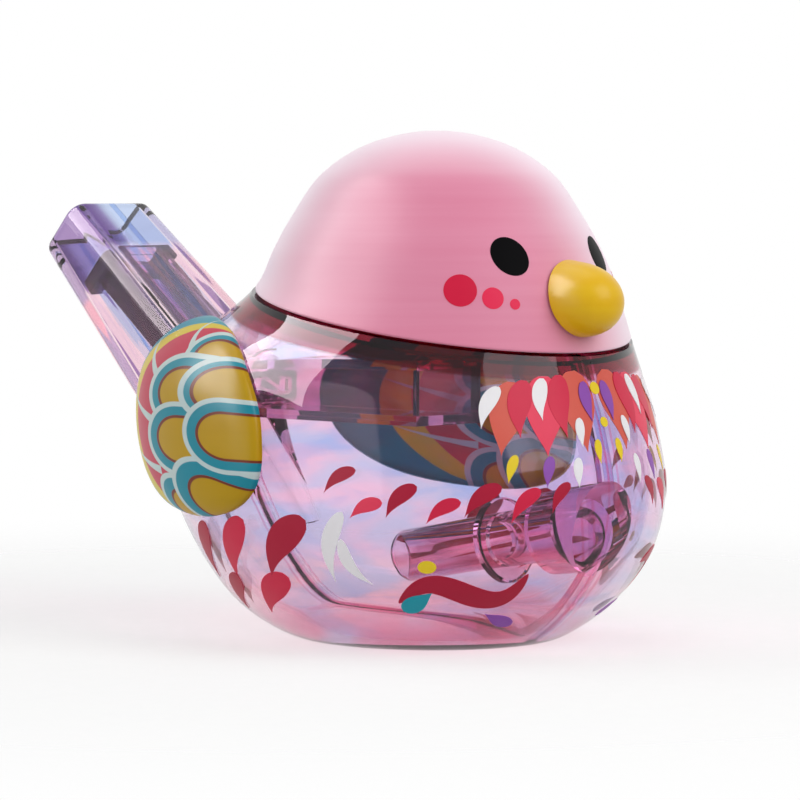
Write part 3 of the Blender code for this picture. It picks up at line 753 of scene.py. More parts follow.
# %% Wing pads
WING_BELOW_RIM = 0.0118
WING_HEIGHT = RIM_HEIGHT - WING_BELOW_RIM
WING_ANGLE, WING_TILT = math.radians(117.0), math.radians(5.2)
WING_HALF_LENGTH, WING_HALF_DEPTH = 0.0186, 0.0108
WING_PROUD, WING_EDGE_STEP, WING_ROOT = 0.0027, 0.00035, 0.0008
WING_FULLNESS = 2.5
WING_SEGMENTS, WING_RINGS, WING_INNERMOST_TURN = 120, 14, 0.12
WING_ROOT_SHARES = (0.3, 0.65, 1.0)
WING_MEAN_RADIUS = (BREAST_REACH + RUMP_REACH) / 2
FILM_RINGS, FILM_INNERMOST_TURN, FILM_EDGE_SHARE, FILM_CREASE = 26, 0.06, 0.999, 60


def wing_crown(share):
    """How far the pad stands out, from its crisp edge to its middle."""
    return WING_EDGE_STEP + (WING_PROUD - WING_EDGE_STEP) * math.sqrt(max(1 - share ** 4, 0))


def wing_oval():
    """The tilted oval's outline, backward and upward from its middle."""
    turns = full_turn(WING_SEGMENTS)
    waves = np.stack((np.cos(turns), np.sin(turns)))
    waves = np.sign(waves) * np.abs(waves) ** (2 / WING_FULLNESS)
    length, depth = waves * ((WING_HALF_LENGTH,), (WING_HALF_DEPTH,))
    cosine, sine = math.cos(WING_TILT), math.sin(WING_TILT)
    return length * cosine - depth * sine, length * sine + depth * cosine


def wing_ring(side, share, rise):
    backward, upward = wing_oval()
    angle = WING_ANGLE + share * backward / WING_MEAN_RADIUS
    return skin_point(place_at(WING_HEIGHT + share * upward), side * angle, -rise)


def wing_top(side, rise):
    return tuple(skin_point(place_at(WING_HEIGHT), side * WING_ANGLE, -rise))


def wing_pad(side):
    shares = [math.sin(turn) for turn in np.linspace(math.pi / 2, WING_INNERMOST_TURN, WING_RINGS)]
    rings = [wing_ring(side, share, -WING_ROOT) for share in WING_ROOT_SHARES]
    rings += [wing_ring(side, share, wing_crown(share)) for share in shares]
    return loft("wing", rings, last_pole=wing_top(side, WING_PROUD))


# %% Weld bead and the water tube's boss
TUBE_OUTER_RADIUS, TUBE_BORE_RADIUS = 0.0033, 0.0022
TUBE_RISE = math.radians(11.0)
TUBE_AXIS = Vector((0, -math.cos(TUBE_RISE), math.sin(TUBE_RISE)))
TUBE_LENGTH, TUBE_LIP_RADIUS = 0.0262, 0.0004
TUBE_BEHIND_BREAST, TUBE_BACK_HEIGHT = 0.00628, 0.0092
TUBE_BACK = TUBE_LENGTH * math.cos(TUBE_RISE) + TUBE_BEHIND_BREAST - BREAST_REACH
TUBE_ORIGIN = Vector((0, HEAD_AXIS_Y + TUBE_BACK, TUBE_BACK_HEIGHT))
BOSS_WALL, BOSS_LENGTH = 0.0011, 0.0034
TUBE_SEGMENTS = 72


def weld_bead():
    """A strip that follows the wall's inside round the middle plane, from rim to foot to rim."""
    top = place_at(RIM_HEIGHT - SHOULDER_THICKNESS)
    places = np.linspace(top, 0, SKIN_ROWS)
    path = [(place, 0.0) for place in places] + [(place, math.pi) for place in reversed(places)]
    places, angles = np.array(path).T
    low, high = (skin_point(places, angles, BODY_WALL + side * WELD_BEAD_DEPTH) for side in (1, -1))
    half = np.array((WELD_BEAD_WIDTH / 2, 0, 0))
    return loft("weld_bead", [(a - half, a + half, b + half, b - half) for a, b in zip(low, high)])


def turned(name, profile, origin, axis, looped=False):
    """A solid turned about an axis from (distance, radius) points. A looped profile gives a ring."""
    across = Vector((1, 0, 0))
    up = axis.cross(across).normalized()
    spins = full_turn(TUBE_SEGMENTS)
    rings = [[origin + axis * distance + (across * math.cos(spin) + up * math.sin(spin)) * radius
              for spin in spins] for distance, radius in profile]
    return loft(name, rings, looped=looped)


def tube_boss():
    outer = TUBE_OUTER_RADIUS + FIT_GAP + BOSS_WALL
    profile = ((TUBE_LENGTH - BOSS_LENGTH, outer), (TUBE_LENGTH + 5 * OVERCUT, outer))
    boss = turned("boss", profile, TUBE_ORIGIN, TUBE_AXIS)
    return combine(boss, skin_solid("boss_trim", BODY_WALL / 2), "INTERSECT")


def tube_socket():
    profile = ((-OVERCUT, TUBE_OUTER_RADIUS + FIT_GAP), (TUBE_LENGTH + FIT_GAP, TUBE_OUTER_RADIUS + FIT_GAP))
    return turned("socket", profile, TUBE_ORIGIN, TUBE_AXIS)


# %% Cut and part the body
def whole_body():
    body = skin_solid("body", 0.0)
    combine(body, rim_slab("above_rim", 0.0, above=True))
    combine(body, tail_solid(), "UNION")
    for side in (-1, 1):
        combine(body, wing_pad(side), "UNION")
    spigot = skin_solid("spigot", HEAD_WALL + FIT_GAP)
    combine(spigot, rim_slab("spigot_top", SPIGOT_HEIGHT, above=True))
    combine(spigot, rim_slab("spigot_foot", -SHOULDER_THICKNESS / 2, above=False))
    combine(body, spigot, "UNION")
    belly = skin_solid("belly_hollow", BODY_WALL)
    combine(belly, rim_slab("belly_top", -SHOULDER_THICKNESS, above=True))
    combine(body, belly)
    neck = skin_solid("neck_bore", HEAD_WALL + FIT_GAP + SPIGOT_WALL)
    combine(neck, rim_slab("neck_foot", -SHOULDER_THICKNESS - OVERCUT, above=False))
    combine(body, neck)
    combine(body, weld_bead(), "UNION")
    combine(body, tube_boss(), "UNION")
    combine(body, tube_socket())
    combine(body, tail_hollow("tail_hollow", -OVERCUT, TAIL_HOLLOW_LENGTH, 0.0))
    combine(body, duct_solid("web_hole", TAIL_HOLLOW_LENGTH - 2 * OVERCUT, WINDWAY_END, 0.0))
    return body


def body_half(whole, name, side, stands_for):
    half = new_object(name, whole.data.copy())
    low, high = sorted((-side * WELD_OVERLAP / 2, side * FAR))
    combine(half, block("side", (low, -FAR, -FAR), (high, FAR, FAR)), "INTERSECT")
    return dress(half, CLEAR_PINK, "clear_pink", stands_for)


whole = whole_body()
for side, label in SIDES:
    body_half(whole, "clear_body_" + label, side, f"body_{label}_half")
bpy.data.objects.remove(whole, do_unlink=True)

# %% [markdown]
# ## The head cap
#
# The cap is one opaque dome with an even wall. Its rows are spread from the rim plane to the crown, so that
# its lower edge is a true ring that can be rounded, which a cut through a finished dome wouldn't give. Water
# is poured in through the small hole in the crown. The beak's peg goes through a second hole.

# %% Build the head cap
EDGE_RADIUS, EDGE_STEPS = 0.00035, 6
FILL_HOLE_RADIUS = 0.0013
BEAK_HEIGHT = RIM_HEIGHT + 0.0022
BEAK_LENGTH, BEAK_HALF_WIDTH, BEAK_HALF_DEPTH = 0.0058, 0.0046, 0.0043
BEAK_DROOP = math.radians(8.0)
BEAK_PEG_RADIUS = 0.0016
BEAK_AXIS = Vector((0, -math.cos(BEAK_DROOP), -math.sin(BEAK_DROOP)))
BEAK_ROOT = Vector(skin_point(place_at(BEAK_HEIGHT), 0.0))
HEAD_ROWS = 70
CROWN_PLACE = len(STATIONS) - 1


def peg(name, margin):
    reach = HEAD_WALL + OVERCUT + margin
    profile = ((-reach, BEAK_PEG_RADIUS + margin), (OVERCUT, BEAK_PEG_RADIUS + margin))
    return turned(name, profile, BEAK_ROOT, BEAK_AXIS)


def head_cap():
    angles = full_turn(SKIN_SEGMENTS)

    def edge_ring(depth, rise):
        return skin_point(place_at_rim(angles, depth, FIT_GAP + rise), angles, depth)

    def dome_rings(depth, rise):
        foot = place_at_rim(angles, depth, FIT_GAP + rise)
        return [skin_point(foot + (CROWN_PLACE - foot) * row / HEAD_ROWS, angles, depth)
                for row in range(HEAD_ROWS)]

    bends = np.linspace(0, math.pi / 2, EDGE_STEPS)[1:-1]
    rings = dome_rings(HEAD_WALL, EDGE_RADIUS)[::-1]
    rings += [edge_ring(HEAD_WALL - EDGE_RADIUS * (1 - math.cos(bend)), EDGE_RADIUS * (1 - math.sin(bend)))
              for bend in bends]
    rings += [edge_ring(HEAD_WALL - EDGE_RADIUS, 0), edge_ring(EDGE_RADIUS, 0)]
    rings += [edge_ring(EDGE_RADIUS * (1 - math.cos(bend)), EDGE_RADIUS * (1 - math.sin(bend)))
              for bend in reversed(bends)]
    rings += dome_rings(0.0, EDGE_RADIUS)
    crown = Vector((0, HEAD_AXIS_Y, HEIGHT))
    ceiling = crown - Vector((0, 0, HEAD_WALL))
    cap = loft("head_dome", rings, first_pole=tuple(ceiling), last_pole=tuple(crown))
    profile = ((HEIGHT - HEAD_WALL - OVERCUT, FILL_HOLE_RADIUS), (HEIGHT + OVERCUT, FILL_HOLE_RADIUS))
    combine(cap, turned("fill_hole", profile, Vector((0, HEAD_AXIS_Y, 0)), Vector((0, 0, 1))))
    combine(cap, peg("peg_hole", FIT_GAP))
    return cap


dress(head_cap(), PEARL_PINK, "pearl_pink", "head_cap")

# %% [markdown]
# ## The beak
#
# A blunt cone with an oval section. Its rings shrink along a quarter of a circle, so its tip is round. Its
# root is cut by the skin itself, so it sits on the head's curve with a hair's gap, as a pressed-in part does.

# %% Build the beak
BEAK_RINGS, BEAK_SEGMENTS, BEAK_FULLNESS = 26, 96, 0.9


def beak():
    across = Vector((1, 0, 0))
    up = across.cross(BEAK_AXIS).normalized()

    def oval(girth):
        return [(BEAK_HALF_WIDTH * girth * math.cos(spin), BEAK_HALF_DEPTH * girth * math.sin(spin))
                for spin in full_turn(BEAK_SEGMENTS)]

    rings = [oriented_ring(oval(1.0), BEAK_ROOT - BEAK_AXIS * OVERCUT, across, up)]
    for swing in np.linspace(0, math.pi / 2, BEAK_RINGS, endpoint=False):
        centre = BEAK_ROOT + BEAK_AXIS * BEAK_LENGTH * math.sin(swing)
        rings.append(oriented_ring(oval(math.cos(swing) ** BEAK_FULLNESS), centre, across, up))
    body = loft("beak_cone", rings, last_pole=tuple(BEAK_ROOT + BEAK_AXIS * BEAK_LENGTH))
    combine(body, skin_solid("beak_seat", -FIT_GAP))
    return combine(body, peg("beak_peg", 0.0), "UNION")


dress(beak(), BEAK_YELLOW, "yellow", "beak")

# %% [markdown]
# ## The parts inside
#
# Three tinted mouldings make the sound: the box-section insert in the tail, the chamber with its window, and
# the collared tube low in the belly. They follow the frame's solids with finer curves and softened edges,
# because a moulded edge is never razor-sharp and a clear one shows it as a bright line.

# %% Soft edges
SOFT_EDGE, SOFT_SEGMENTS, SOFT_FROM = 0.00018, 2, math.radians(40)


def soften(piece, width=SOFT_EDGE):
    """Rounds every sharp edge a little, as a mould does."""
    bevel = piece.modifiers.new("soft edges", "BEVEL")
    bevel.width = width
    bevel.segments = SOFT_SEGMENTS
    bevel.limit_method = "ANGLE"
    bevel.angle_limit = SOFT_FROM
    bevel.use_clamp_overlap = True
    return piece


# %% Windway insert
MOUTH_LENGTH = 0.0080
INSERT_HEAD_THICKNESS = 0.0018
INSERT_WALL = 0.0009
INSERT_SOFT_EDGE = 0.00012


def windway_insert():
    insert = duct_solid("windway_box", MOUTH_LENGTH, WINDWAY_END, -FIT_GAP)
    head = tail_hollow("insert_head", MOUTH_LENGTH, MOUTH_LENGTH + INSERT_HEAD_THICKNESS, FIT_GAP)
    combine(insert, head, "UNION")
    bore = duct_solid("windway", MOUTH_LENGTH - OVERCUT, WINDWAY_END + OVERCUT, -FIT_GAP - INSERT_WALL)
    return combine(insert, bore)


soften(dress(windway_insert(), CLEAR_VIOLET, "clear_violet", "windway_insert"), INSERT_SOFT_EDGE)

# %% Whistle chamber
CHAMBER_WIDTH, CHAMBER_DEPTH, CHAMBER_WALL = 0.0112, 0.0076, 0.0011
WINDOW_LENGTH, WINDOW_WIDTH, WINDOW_FROM_BACK = 0.0050, 0.0060, 0.0060


def whistle_chamber():
    middle = windway_at(WINDWAY_END)[0].z
    half_width, half_depth = CHAMBER_WIDTH / 2, CHAMBER_DEPTH / 2
    front = HEAD_AXIS_Y + CHAMBER_FRONT
    chamber = block("chamber_box", (-half_width, front, middle - half_depth),
                    (half_width, CHAMBER_BACK, middle + half_depth))
    wall = CHAMBER_WALL
    hollow = block("chamber_hollow", (-half_width + wall, front + wall, middle - half_depth + wall),
                   (half_width - wall, CHAMBER_BACK - wall, middle + half_depth - wall))
    combine(chamber, hollow)
    window_back = CHAMBER_BACK - WINDOW_FROM_BACK
    window = block("window", (-WINDOW_WIDTH / 2, window_back - WINDOW_LENGTH, middle),
                   (WINDOW_WIDTH / 2, window_back, middle + half_depth + OVERCUT))
    combine(chamber, window)
    socket = duct_solid("chamber_socket", sum(windway_bend()), WINDWAY_END + FIT_GAP, 0.0)
    return combine(chamber, socket)


soften(dress(whistle_chamber(), CLEAR_VIOLET, "clear_violet", "whistle_chamber"))

# %% Water tube
COLLAR_RADIUS, COLLAR_THICKNESS, COLLAR_FROM_BACK, COLLAR_EDGE = 0.0050, 0.0012, 0.0150, 0.0002
LIP_CORNER = 0.3 * TUBE_LIP_RADIUS


def water_tube():
    lip, bore, outer = TUBE_LIP_RADIUS, TUBE_BORE_RADIUS, TUBE_OUTER_RADIUS
    collar_end = COLLAR_FROM_BACK + COLLAR_THICKNESS
    profile = (
        (lip, bore), (LIP_CORNER, bore + LIP_CORNER), (0.0, bore + lip), (0.0, outer - lip),
        (LIP_CORNER, outer - LIP_CORNER), (lip, outer),
        (COLLAR_FROM_BACK, outer), (COLLAR_FROM_BACK, COLLAR_RADIUS - COLLAR_EDGE),
        (COLLAR_FROM_BACK + COLLAR_EDGE, COLLAR_RADIUS), (collar_end - COLLAR_EDGE, COLLAR_RADIUS),
        (collar_end, COLLAR_RADIUS - COLLAR_EDGE), (collar_end, outer),
        (TUBE_LENGTH - lip, outer), (TUBE_LENGTH, outer - lip), (TUBE_LENGTH, bore + lip),
        (TUBE_LENGTH - lip, bore),
    )
    return turned("collared_tube", profile, TUBE_ORIGIN, TUBE_AXIS, looped=True)


dress(water_tube(), CLEAR_VIOLET, "clear_violet", "water_tube")

# %% [markdown]
# ## Printing on a curved skin
#
# Eyes, cheeks and motifs are pad-printed: a soft pad picks up a flat picture and presses it straight onto the
# curved plastic. Each mark here is drawn the same way, flat in millimetres as a stroke with a spine and a
# width, then pressed along the skin's normal at its place. It becomes a thin closed film a few hundredths of
# a millimetre thick, divided finely enough to hug the curve. Its underside lies just inside the plastic,
# because printing ink is bonded to it, and so it shows from both sides of a clear wall at any slant.

# %% Press a flat drawing onto the skin
INK_FLOOR, INK_TOP = -0.00003, 0.00004
PRESS_STEPS = 8
LEAST_HALF_WIDTH, STROKE_ACROSS = 0.00002, 9
OVAL_STEPS, OVAL_ACROSS = 33, 13


def press_on(flat, angle, height, turn=0.0):
    """Places along the skin for flat points, pressed straight on at an angle and a height."""
    centre, normal, around, along = skin_frame(place_at(height), angle)
    across = around / np.linalg.norm(around)
    up = np.cross(normal, across)
    cosine, sine = math.cos(turn), math.sin(turn)
    u, v = flat[..., 0] * cosine - flat[..., 1] * sine, flat[..., 0] * sine + flat[..., 1] * cosine
    wanted = centre + u[..., None] * across + v[..., None] * up
    angles, places = np.full(u.shape, float(angle)), np.full(u.shape, float(place_at(height)))
    for _ in range(PRESS_STEPS):
        point, _, around, along = skin_frame(places, angles)
        miss = wanted - point
        miss -= (miss @ normal)[..., None] * normal
        aa, bb, ab = (around ** 2).sum(-1), (along ** 2).sum(-1), (around * along).sum(-1)
        ma, mb = (miss * around).sum(-1), (miss * along).sum(-1)
        divide = aa * bb - ab ** 2
        angles = angles + (ma * bb - mb * ab) / divide
        places = places + (mb * aa - ma * ab) / divide
    return places, angles


def ink_film(name, places, angles, ink, slot, rise=0.0):
    """A closed film over a grid of places on the skin."""
    rows, columns = places.shape
    layers = [skin_point(places, angles, -(rise + lift)) for lift in (INK_FLOOR, INK_TOP)]
    points = np.concatenate([layer.reshape(-1, 3) for layer in layers])
    size = rows * columns
    faces = []
    for row in range(rows - 1):
        for column in range(columns - 1):
            a = row * columns + column
            b, c, d = a + 1, a + columns + 1, a + columns
            faces += [(a, d, c, b), (a + size, b + size, c + size, d + size)]
    border = [column for column in range(columns)]
    border += [row * columns + columns - 1 for row in range(1, rows)]
    border += [(rows - 1) * columns + column for column in reversed(range(columns - 1))]
    border += [row * columns for row in reversed(range(1, rows - 1))]
    for step, a in enumerate(border):
        b = border[(step + 1) % len(border)]
        faces.append((a, b, b + size, a + size))
    return dress(new_piece(name, points, faces), ink, slot)


def stroke(name, angle, height, spine, widths, ink, turn=0.0, slot="clear_pink",
           layer=0, across=STROKE_ACROSS):
    """Prints a stroke: spine points in metres, a half width at each, and the layer it lies on."""
    spine, widths = np.asarray(spine, float), np.maximum(np.asarray(widths, float), LEAST_HALF_WIDTH)
    run = np.gradient(spine, axis=0)
    side = np.stack((-run[:, 1], run[:, 0]), -1)
    side /= np.linalg.norm(side, axis=-1, keepdims=True)
    shares = np.linspace(-1, 1, across)
    flat = spine[:, None] + side[:, None] * widths[:, None, None] * shares[None, :, None]
    places, angles = press_on(flat, angle, height, turn)
    return ink_film(name, places, angles, ink, slot, layer * INK_TOP)


def oval_mark(name, angle, height, half_length, half_width, ink, turn=0.0, slot="clear_pink", layer=0):
    """Prints an oval."""
    spans = np.cos(np.linspace(math.pi, 0, OVAL_STEPS))
    spine = np.stack((spans * half_length, 0 * spans), -1)
    widths = half_width * np.sqrt(1 - spans ** 2)
    return stroke(name, angle, height, spine, widths, ink, turn, slot, across=OVAL_ACROSS, layer=layer)


# %% Inks
INK_SHADE = 0.86


def ink(name, colour, gloss=0.12, clearness=0.0):
    """Ink, opaque on the head and a little clear on the clear body, where light comes from behind as well."""
    deep = tuple(channel * INK_SHADE for channel in colour[:3]) + (1.0,)
    return opaque_plastic(name, colour, deep, 0.35, 0.35, ripple=0.01, gloss=gloss, clearness=clearness)


CLEARNESS = 0.15
WING_CLEARNESS = 0.4
CHEEK_RED_INK = ink("cheek red ink", linear(212, 30, 66))
CHEEK_ROSE_INK = ink("cheek rose ink", linear(234, 44, 84))
BLACK_INK = ink("black ink", linear(4, 3, 5), gloss=0.02)
RED_INK, DEEP_RED_INK, ROSE_INK, CORAL_INK, WHITE_INK, YELLOW_INK, PURPLE_INK, TEAL_INK = (
    ink(name + " ink", linear(*colour), clearness=CLEARNESS) for name, colour in (
        ("red", (222, 40, 76)), ("deep red", (184, 28, 60)), ("rose", (244, 66, 98)),
        ("coral", (228, 100, 84)), ("white", (252, 250, 253)), ("yellow", (248, 218, 44)),
        ("purple", (152, 84, 184)), ("teal", (36, 164, 182))))

# %% [markdown]
# ## The face
#
# Two black ovals are the eyes, leaning well towards the beak, and three dots that shrink towards it are each
# cheek. Both sides mirror each other.

# %% Eyes and cheeks
EYE_ANGLE, EYE_HEIGHT, EYE_TILT = math.radians(23.6), 0.0455, math.radians(36)
EYE_HALF_HEIGHT, EYE_HALF_WIDTH = 0.00252, 0.00216
CHEEKS = (
    ("large", math.radians(41.0), 0.0417, 0.00190, CHEEK_RED_INK),
    ("middle", math.radians(30.6), 0.0408, 0.00126, CHEEK_ROSE_INK),
    ("small", math.radians(23.4), 0.0401, 0.00062, CHEEK_ROSE_INK),
)
for side, label in SIDES:
    oval_mark("eye_" + label, side * EYE_ANGLE, EYE_HEIGHT, EYE_HALF_HEIGHT, EYE_HALF_WIDTH, BLACK_INK,
              turn=math.pi / 2 - side * EYE_TILT, slot="pearl_pink")
    for size, angle, height, radius, colour in CHEEKS:
        oval_mark(f"cheek_{size}_{label}", side * angle, height, radius, radius, colour, slot="pearl_pink")

# %% [markdown]
# ## The printed wings
#
# Each wing pad carries overlapping scales, an old and common way to draw feathers. Every scale is an oval
# that opens towards the breast: a pale edge, a teal band, a thin brown line and a gold centre. One node group
# draws one scale over whatever colour comes in, so a chain of them stacks up like roof tiles. It works in the
# pad's own flat coordinates, in millimetres, which the film carries as a UV map.

# %% The scale and the quill as node groups
MINT = linear(230, 250, 247)
TEAL = linear(30, 166, 188)
LINE_BROWN = linear(140, 52, 26)
GOLD = linear(222, 178, 6)
WING_RED = linear(232, 58, 92)
WING_YELLOW = linear(250, 226, 60)
SCALE_RIM, SCALE_LINE, LINE_BLUR, SCALE_BLUR = 0.5, 0.3, 0.012, 0.010
QUILL_ROOT, QUILL_BLUR = -0.15, 0.05


def own_place(tree, given, origin):
    """Where a place lies, seen from a mark's own origin and turn."""
    offset = vector_math(tree, "SUBTRACT", given["Place"], given[origin])
    return split(tree, rotated(tree, offset, "Z", math_node(tree, "MULTIPLY", given["Turn"], -1.0)))


def make_feather_scale():
    tree, given, result = new_group(
        "feather scale",
        colours("Under") + [("Place", "Vector"), ("Centre", "Vector")]
        + numbers(Turn=0.0, Length=8.0, Depth=4.0, Centre_Share=0.6))
    place = own_place(tree, given, "Centre")
    back = math_node(tree, "MAXIMUM", place["X"], 0.0)
    squares = [math_node(tree, "POWER", math_node(tree, "DIVIDE", distance, given[size]), 2.0)
               for distance, size in ((back, "Length"), (place["Y"], "Depth"))]
    level = math_node(tree, "SQRT", math_node(tree, "ADD", *squares))
    line, rim = (math_node(tree, "DIVIDE", width, given["Depth"]) for width in (SCALE_LINE, SCALE_RIM))
    line_end = math_node(tree, "ADD", given["Centre Share"], line)
    band_end = math_node(tree, "SUBTRACT", 1.0, rim)
    colour = GOLD
    for edge, beyond in ((given["Centre Share"], LINE_BROWN), (line_end, TEAL), (band_end, MINT)):
        colour = mix_colour(tree, smooth_step(tree, level, edge, LINE_BLUR), colour, beyond)
    outside = smooth_step(tree, level, 1.0, SCALE_BLUR)
    feed(tree, mix_colour(tree, outside, colour, given["Under"]), result["Colour"])
    return tree


def make_quill():
    """A pale quill that tapers to nothing, bending as it goes."""
    tree, given, result = new_group(
        "quill",
        colours("Under") + [("Place", "Vector"), ("Root", "Vector")]
        + numbers(Turn=0.0, Length=6.0, Width=0.5, Bend=0.0))
    place = own_place(tree, given, "Root")
    share = math_node(tree, "DIVIDE", place["X"], given["Length"])
    square = math_node(tree, "MULTIPLY", share, share)
    bent = math_node(tree, "MULTIPLY_ADD", square, given["Bend"], place["Y"])
    room = math_node(tree, "MULTIPLY", math_node(tree, "SUBTRACT", 1.0, share), given["Width"])
    past = math_node(tree, "SUBTRACT", math_node(tree, "ABSOLUTE", bent), room)
    inside = math_node(tree, "SUBTRACT", 1.0, smooth_step(tree, past, 0.0, QUILL_BLUR))
    inside = math_node(tree, "MULTIPLY", inside, math_node(tree, "GREATER_THAN", share, QUILL_ROOT))
    feed(tree, mix_colour(tree, inside, given["Under"], MINT), result["Colour"])
    return tree


FEATHER_SCALE = make_feather_scale()
QUILL = make_quill()

# %% [markdown]
# The scales are listed from the lowest to the topmost: place in millimetres back and up from the pad's
# middle, turn in degrees, half length, half depth, and how much of it the gold centre takes. Behind the two
# rows of scales lie red cells, parted by pale quills, inside a yellow border and a teal one.

# %% Wing print
PRINT_ANGLE, PRINT_HEIGHT = math.radians(113.0), 0.0260
QUILL_WIDTH, QUILL_BEND, BORDER_BLUR = 0.42, -0.9, 0.008
QUILLS = ((-4.6, 7.3, 32, 7.0), (1.4, 4.9, 20, 9.5), (2.3, 0.4, 12, 10.5), (2.2, -5.0, 8, 10.0))
SCALES = (
    (-9.2, 7.2, 6, 5.6, 2.9, 0.55),
    (-3.5, -10.0, 20, 7.0, 4.2, 0.56),
    (-6.0, 3.3, 0, 8.7, 3.9, 0.60),
    (-5.0, -1.7, 0, 8.3, 4.1, 0.58),
    (-9.5, -8.6, 17, 8.2, 4.8, 0.56),
    (-13.3, 3.9, -2, 8.4, 3.6, 0.64),
    (-12.6, -1.1, 2, 6.8, 4.2, 0.58),
)
BORDERS = (
    (-6.2, 0.0, 14.3, 10.1, WING_YELLOW),
    (-4.0, 0.0, 16.4, 10.6, TEAL),
)


def wing_ink():
    material = opaque_plastic("wing ink", GOLD, GOLD, 0.32, ripple=0.01, gloss=0.03, clearness=WING_CLEARNESS)
    tree = material.node_tree
    place = add_node(tree, "ShaderNodeUVMap", uv_map="pad").outputs[0]
    colour = WING_RED
    for u, v, half_length, half_depth, beyond in BORDERS:
        offset = vector_math(tree, "SUBTRACT", place, (u, v, 0))
        shrunk = vector_math(tree, "DIVIDE", offset, (half_length, half_depth, 1.0))
        reach = vector_math(tree, "LENGTH", shrunk)
        colour = mix_colour(tree, smooth_step(tree, reach, 1.0, BORDER_BLUR), colour, beyond)
    for u, v, turn, length in QUILLS:
        colour = use_group(tree, QUILL, Under=colour, Place=place, Root=(u, v, 0), Turn=math.radians(turn),
                           Length=length, Width=QUILL_WIDTH, Bend=QUILL_BEND).outputs[0]
    for u, v, turn, length, depth, gold in SCALES:
        colour = use_group(tree, FEATHER_SCALE, Under=colour, Place=place, Centre=(u, v, 0),
                           Turn=math.radians(turn), Length=length, Depth=depth, Centre_Share=gold).outputs[0]
    streak = next(node for node in tree.nodes if node.type == "GROUP" and node.node_tree == MOULDING_STREAKS)
    shade = mix_colour(tree, 1.0, colour, (INK_SHADE, INK_SHADE, INK_SHADE, 1.0), "MULTIPLY")
    feed_all(tree, streak, Colour=colour, Streak_Colour=shade)
    return material


def wing_film(side, label):
    """The ink on a wing pad, a film that covers its crown and wraps the low step at its edge."""
    backward, upward = wing_oval()
    shares = [1.0] + [math.sin(turn) for turn in np.linspace(math.pi / 2, FILM_INNERMOST_TURN, FILM_RINGS)]
    layers = []
    for lift in (INK_FLOOR, INK_TOP):
        outward = lift / WING_HALF_DEPTH
        rings = [wing_ring(side, 1 + outward, 0.0)]
        rings += [wing_ring(side, min(share, FILM_EDGE_SHARE) + outward, wing_crown(share) + lift)
                  for share in shares[1:]]
        layers.append((rings, wing_top(side, WING_PROUD + lift)))
    rings = layers[0][0][::-1] + layers[1][0]
    film = loft("wing_print_" + label, rings, first_pole=layers[0][1], last_pole=layers[1][1])
    middle = np.array(((WING_ANGLE - PRINT_ANGLE) * WING_MEAN_RADIUS, WING_HEIGHT - PRINT_HEIGHT))
    oval = np.stack((backward, upward), -1)
    rows = [middle + share * oval for share in shares[::-1] + shares]
    flat = np.concatenate(rows + [[middle, middle]]) * 1000
    uv = film.data.uv_layers.new(name="pad")
    for loop in film.data.loops:
        uv.data[loop.index].uv = tuple(flat[loop.vertex_index])
    return film


WING_INK = wing_ink()
for side, label in SIDES:
    dress(wing_film(side, label), WING_INK, "clear_pink", crease=FILM_CREASE)

# %% [markdown]
# ## The belly motifs
#
# The clear belly carries a loose scatter of plumage: petals in red and rose, small white and yellow ones near
# the breast, and a curling ribbon low down. All of them are plain common shapes. A petal is a stroke that is
# round at one end and pointed at the other, and a ribbon is the same stroke along a wave.

# %% Petals and ribbons
PETAL_STEPS, PETAL_ROUND_SHARE, PETAL_TAPER = 25, 0.35, 1.3
RIBBON_STEPS, RIBBON_TAPER = 61, 0.6


def petal(name, angle, height, length, width, ink_used, turn=0.0, bend=0.0, layer=0):
    """A petal, round at its foot and pointed at its tip, with a bent spine."""
    steps = np.linspace(0, 1, PETAL_STEPS)
    arc = steps * length
    spine = np.stack((arc - length / 2, bend * length * np.sin(math.pi * steps) / 2), -1)
    widths = width * np.sqrt(np.clip(1 - (1 - steps / PETAL_ROUND_SHARE) ** 2, 0, 1))
    taper = np.cos((steps - PETAL_ROUND_SHARE) / (1 - PETAL_ROUND_SHARE) * math.pi / 2) ** PETAL_TAPER
    widths = np.where(steps > PETAL_ROUND_SHARE, width * taper, widths)
    return stroke(name, math.radians(angle), height, spine, widths, ink_used, math.radians(turn), layer=layer)


def ribbon(name, angle, height, length, wave, width, ink_used, turn=0.0):
    """A waved ribbon that tapers at both ends."""
    steps = np.linspace(0, 1, RIBBON_STEPS)
    spine = np.stack(((steps - 0.5) * length, wave * np.sin(2 * math.pi * steps)), -1)
    widths = width * np.sin(math.pi * steps) ** RIBBON_TAPER
    return stroke(name, math.radians(angle), height, spine, widths, ink_used, math.radians(turn))


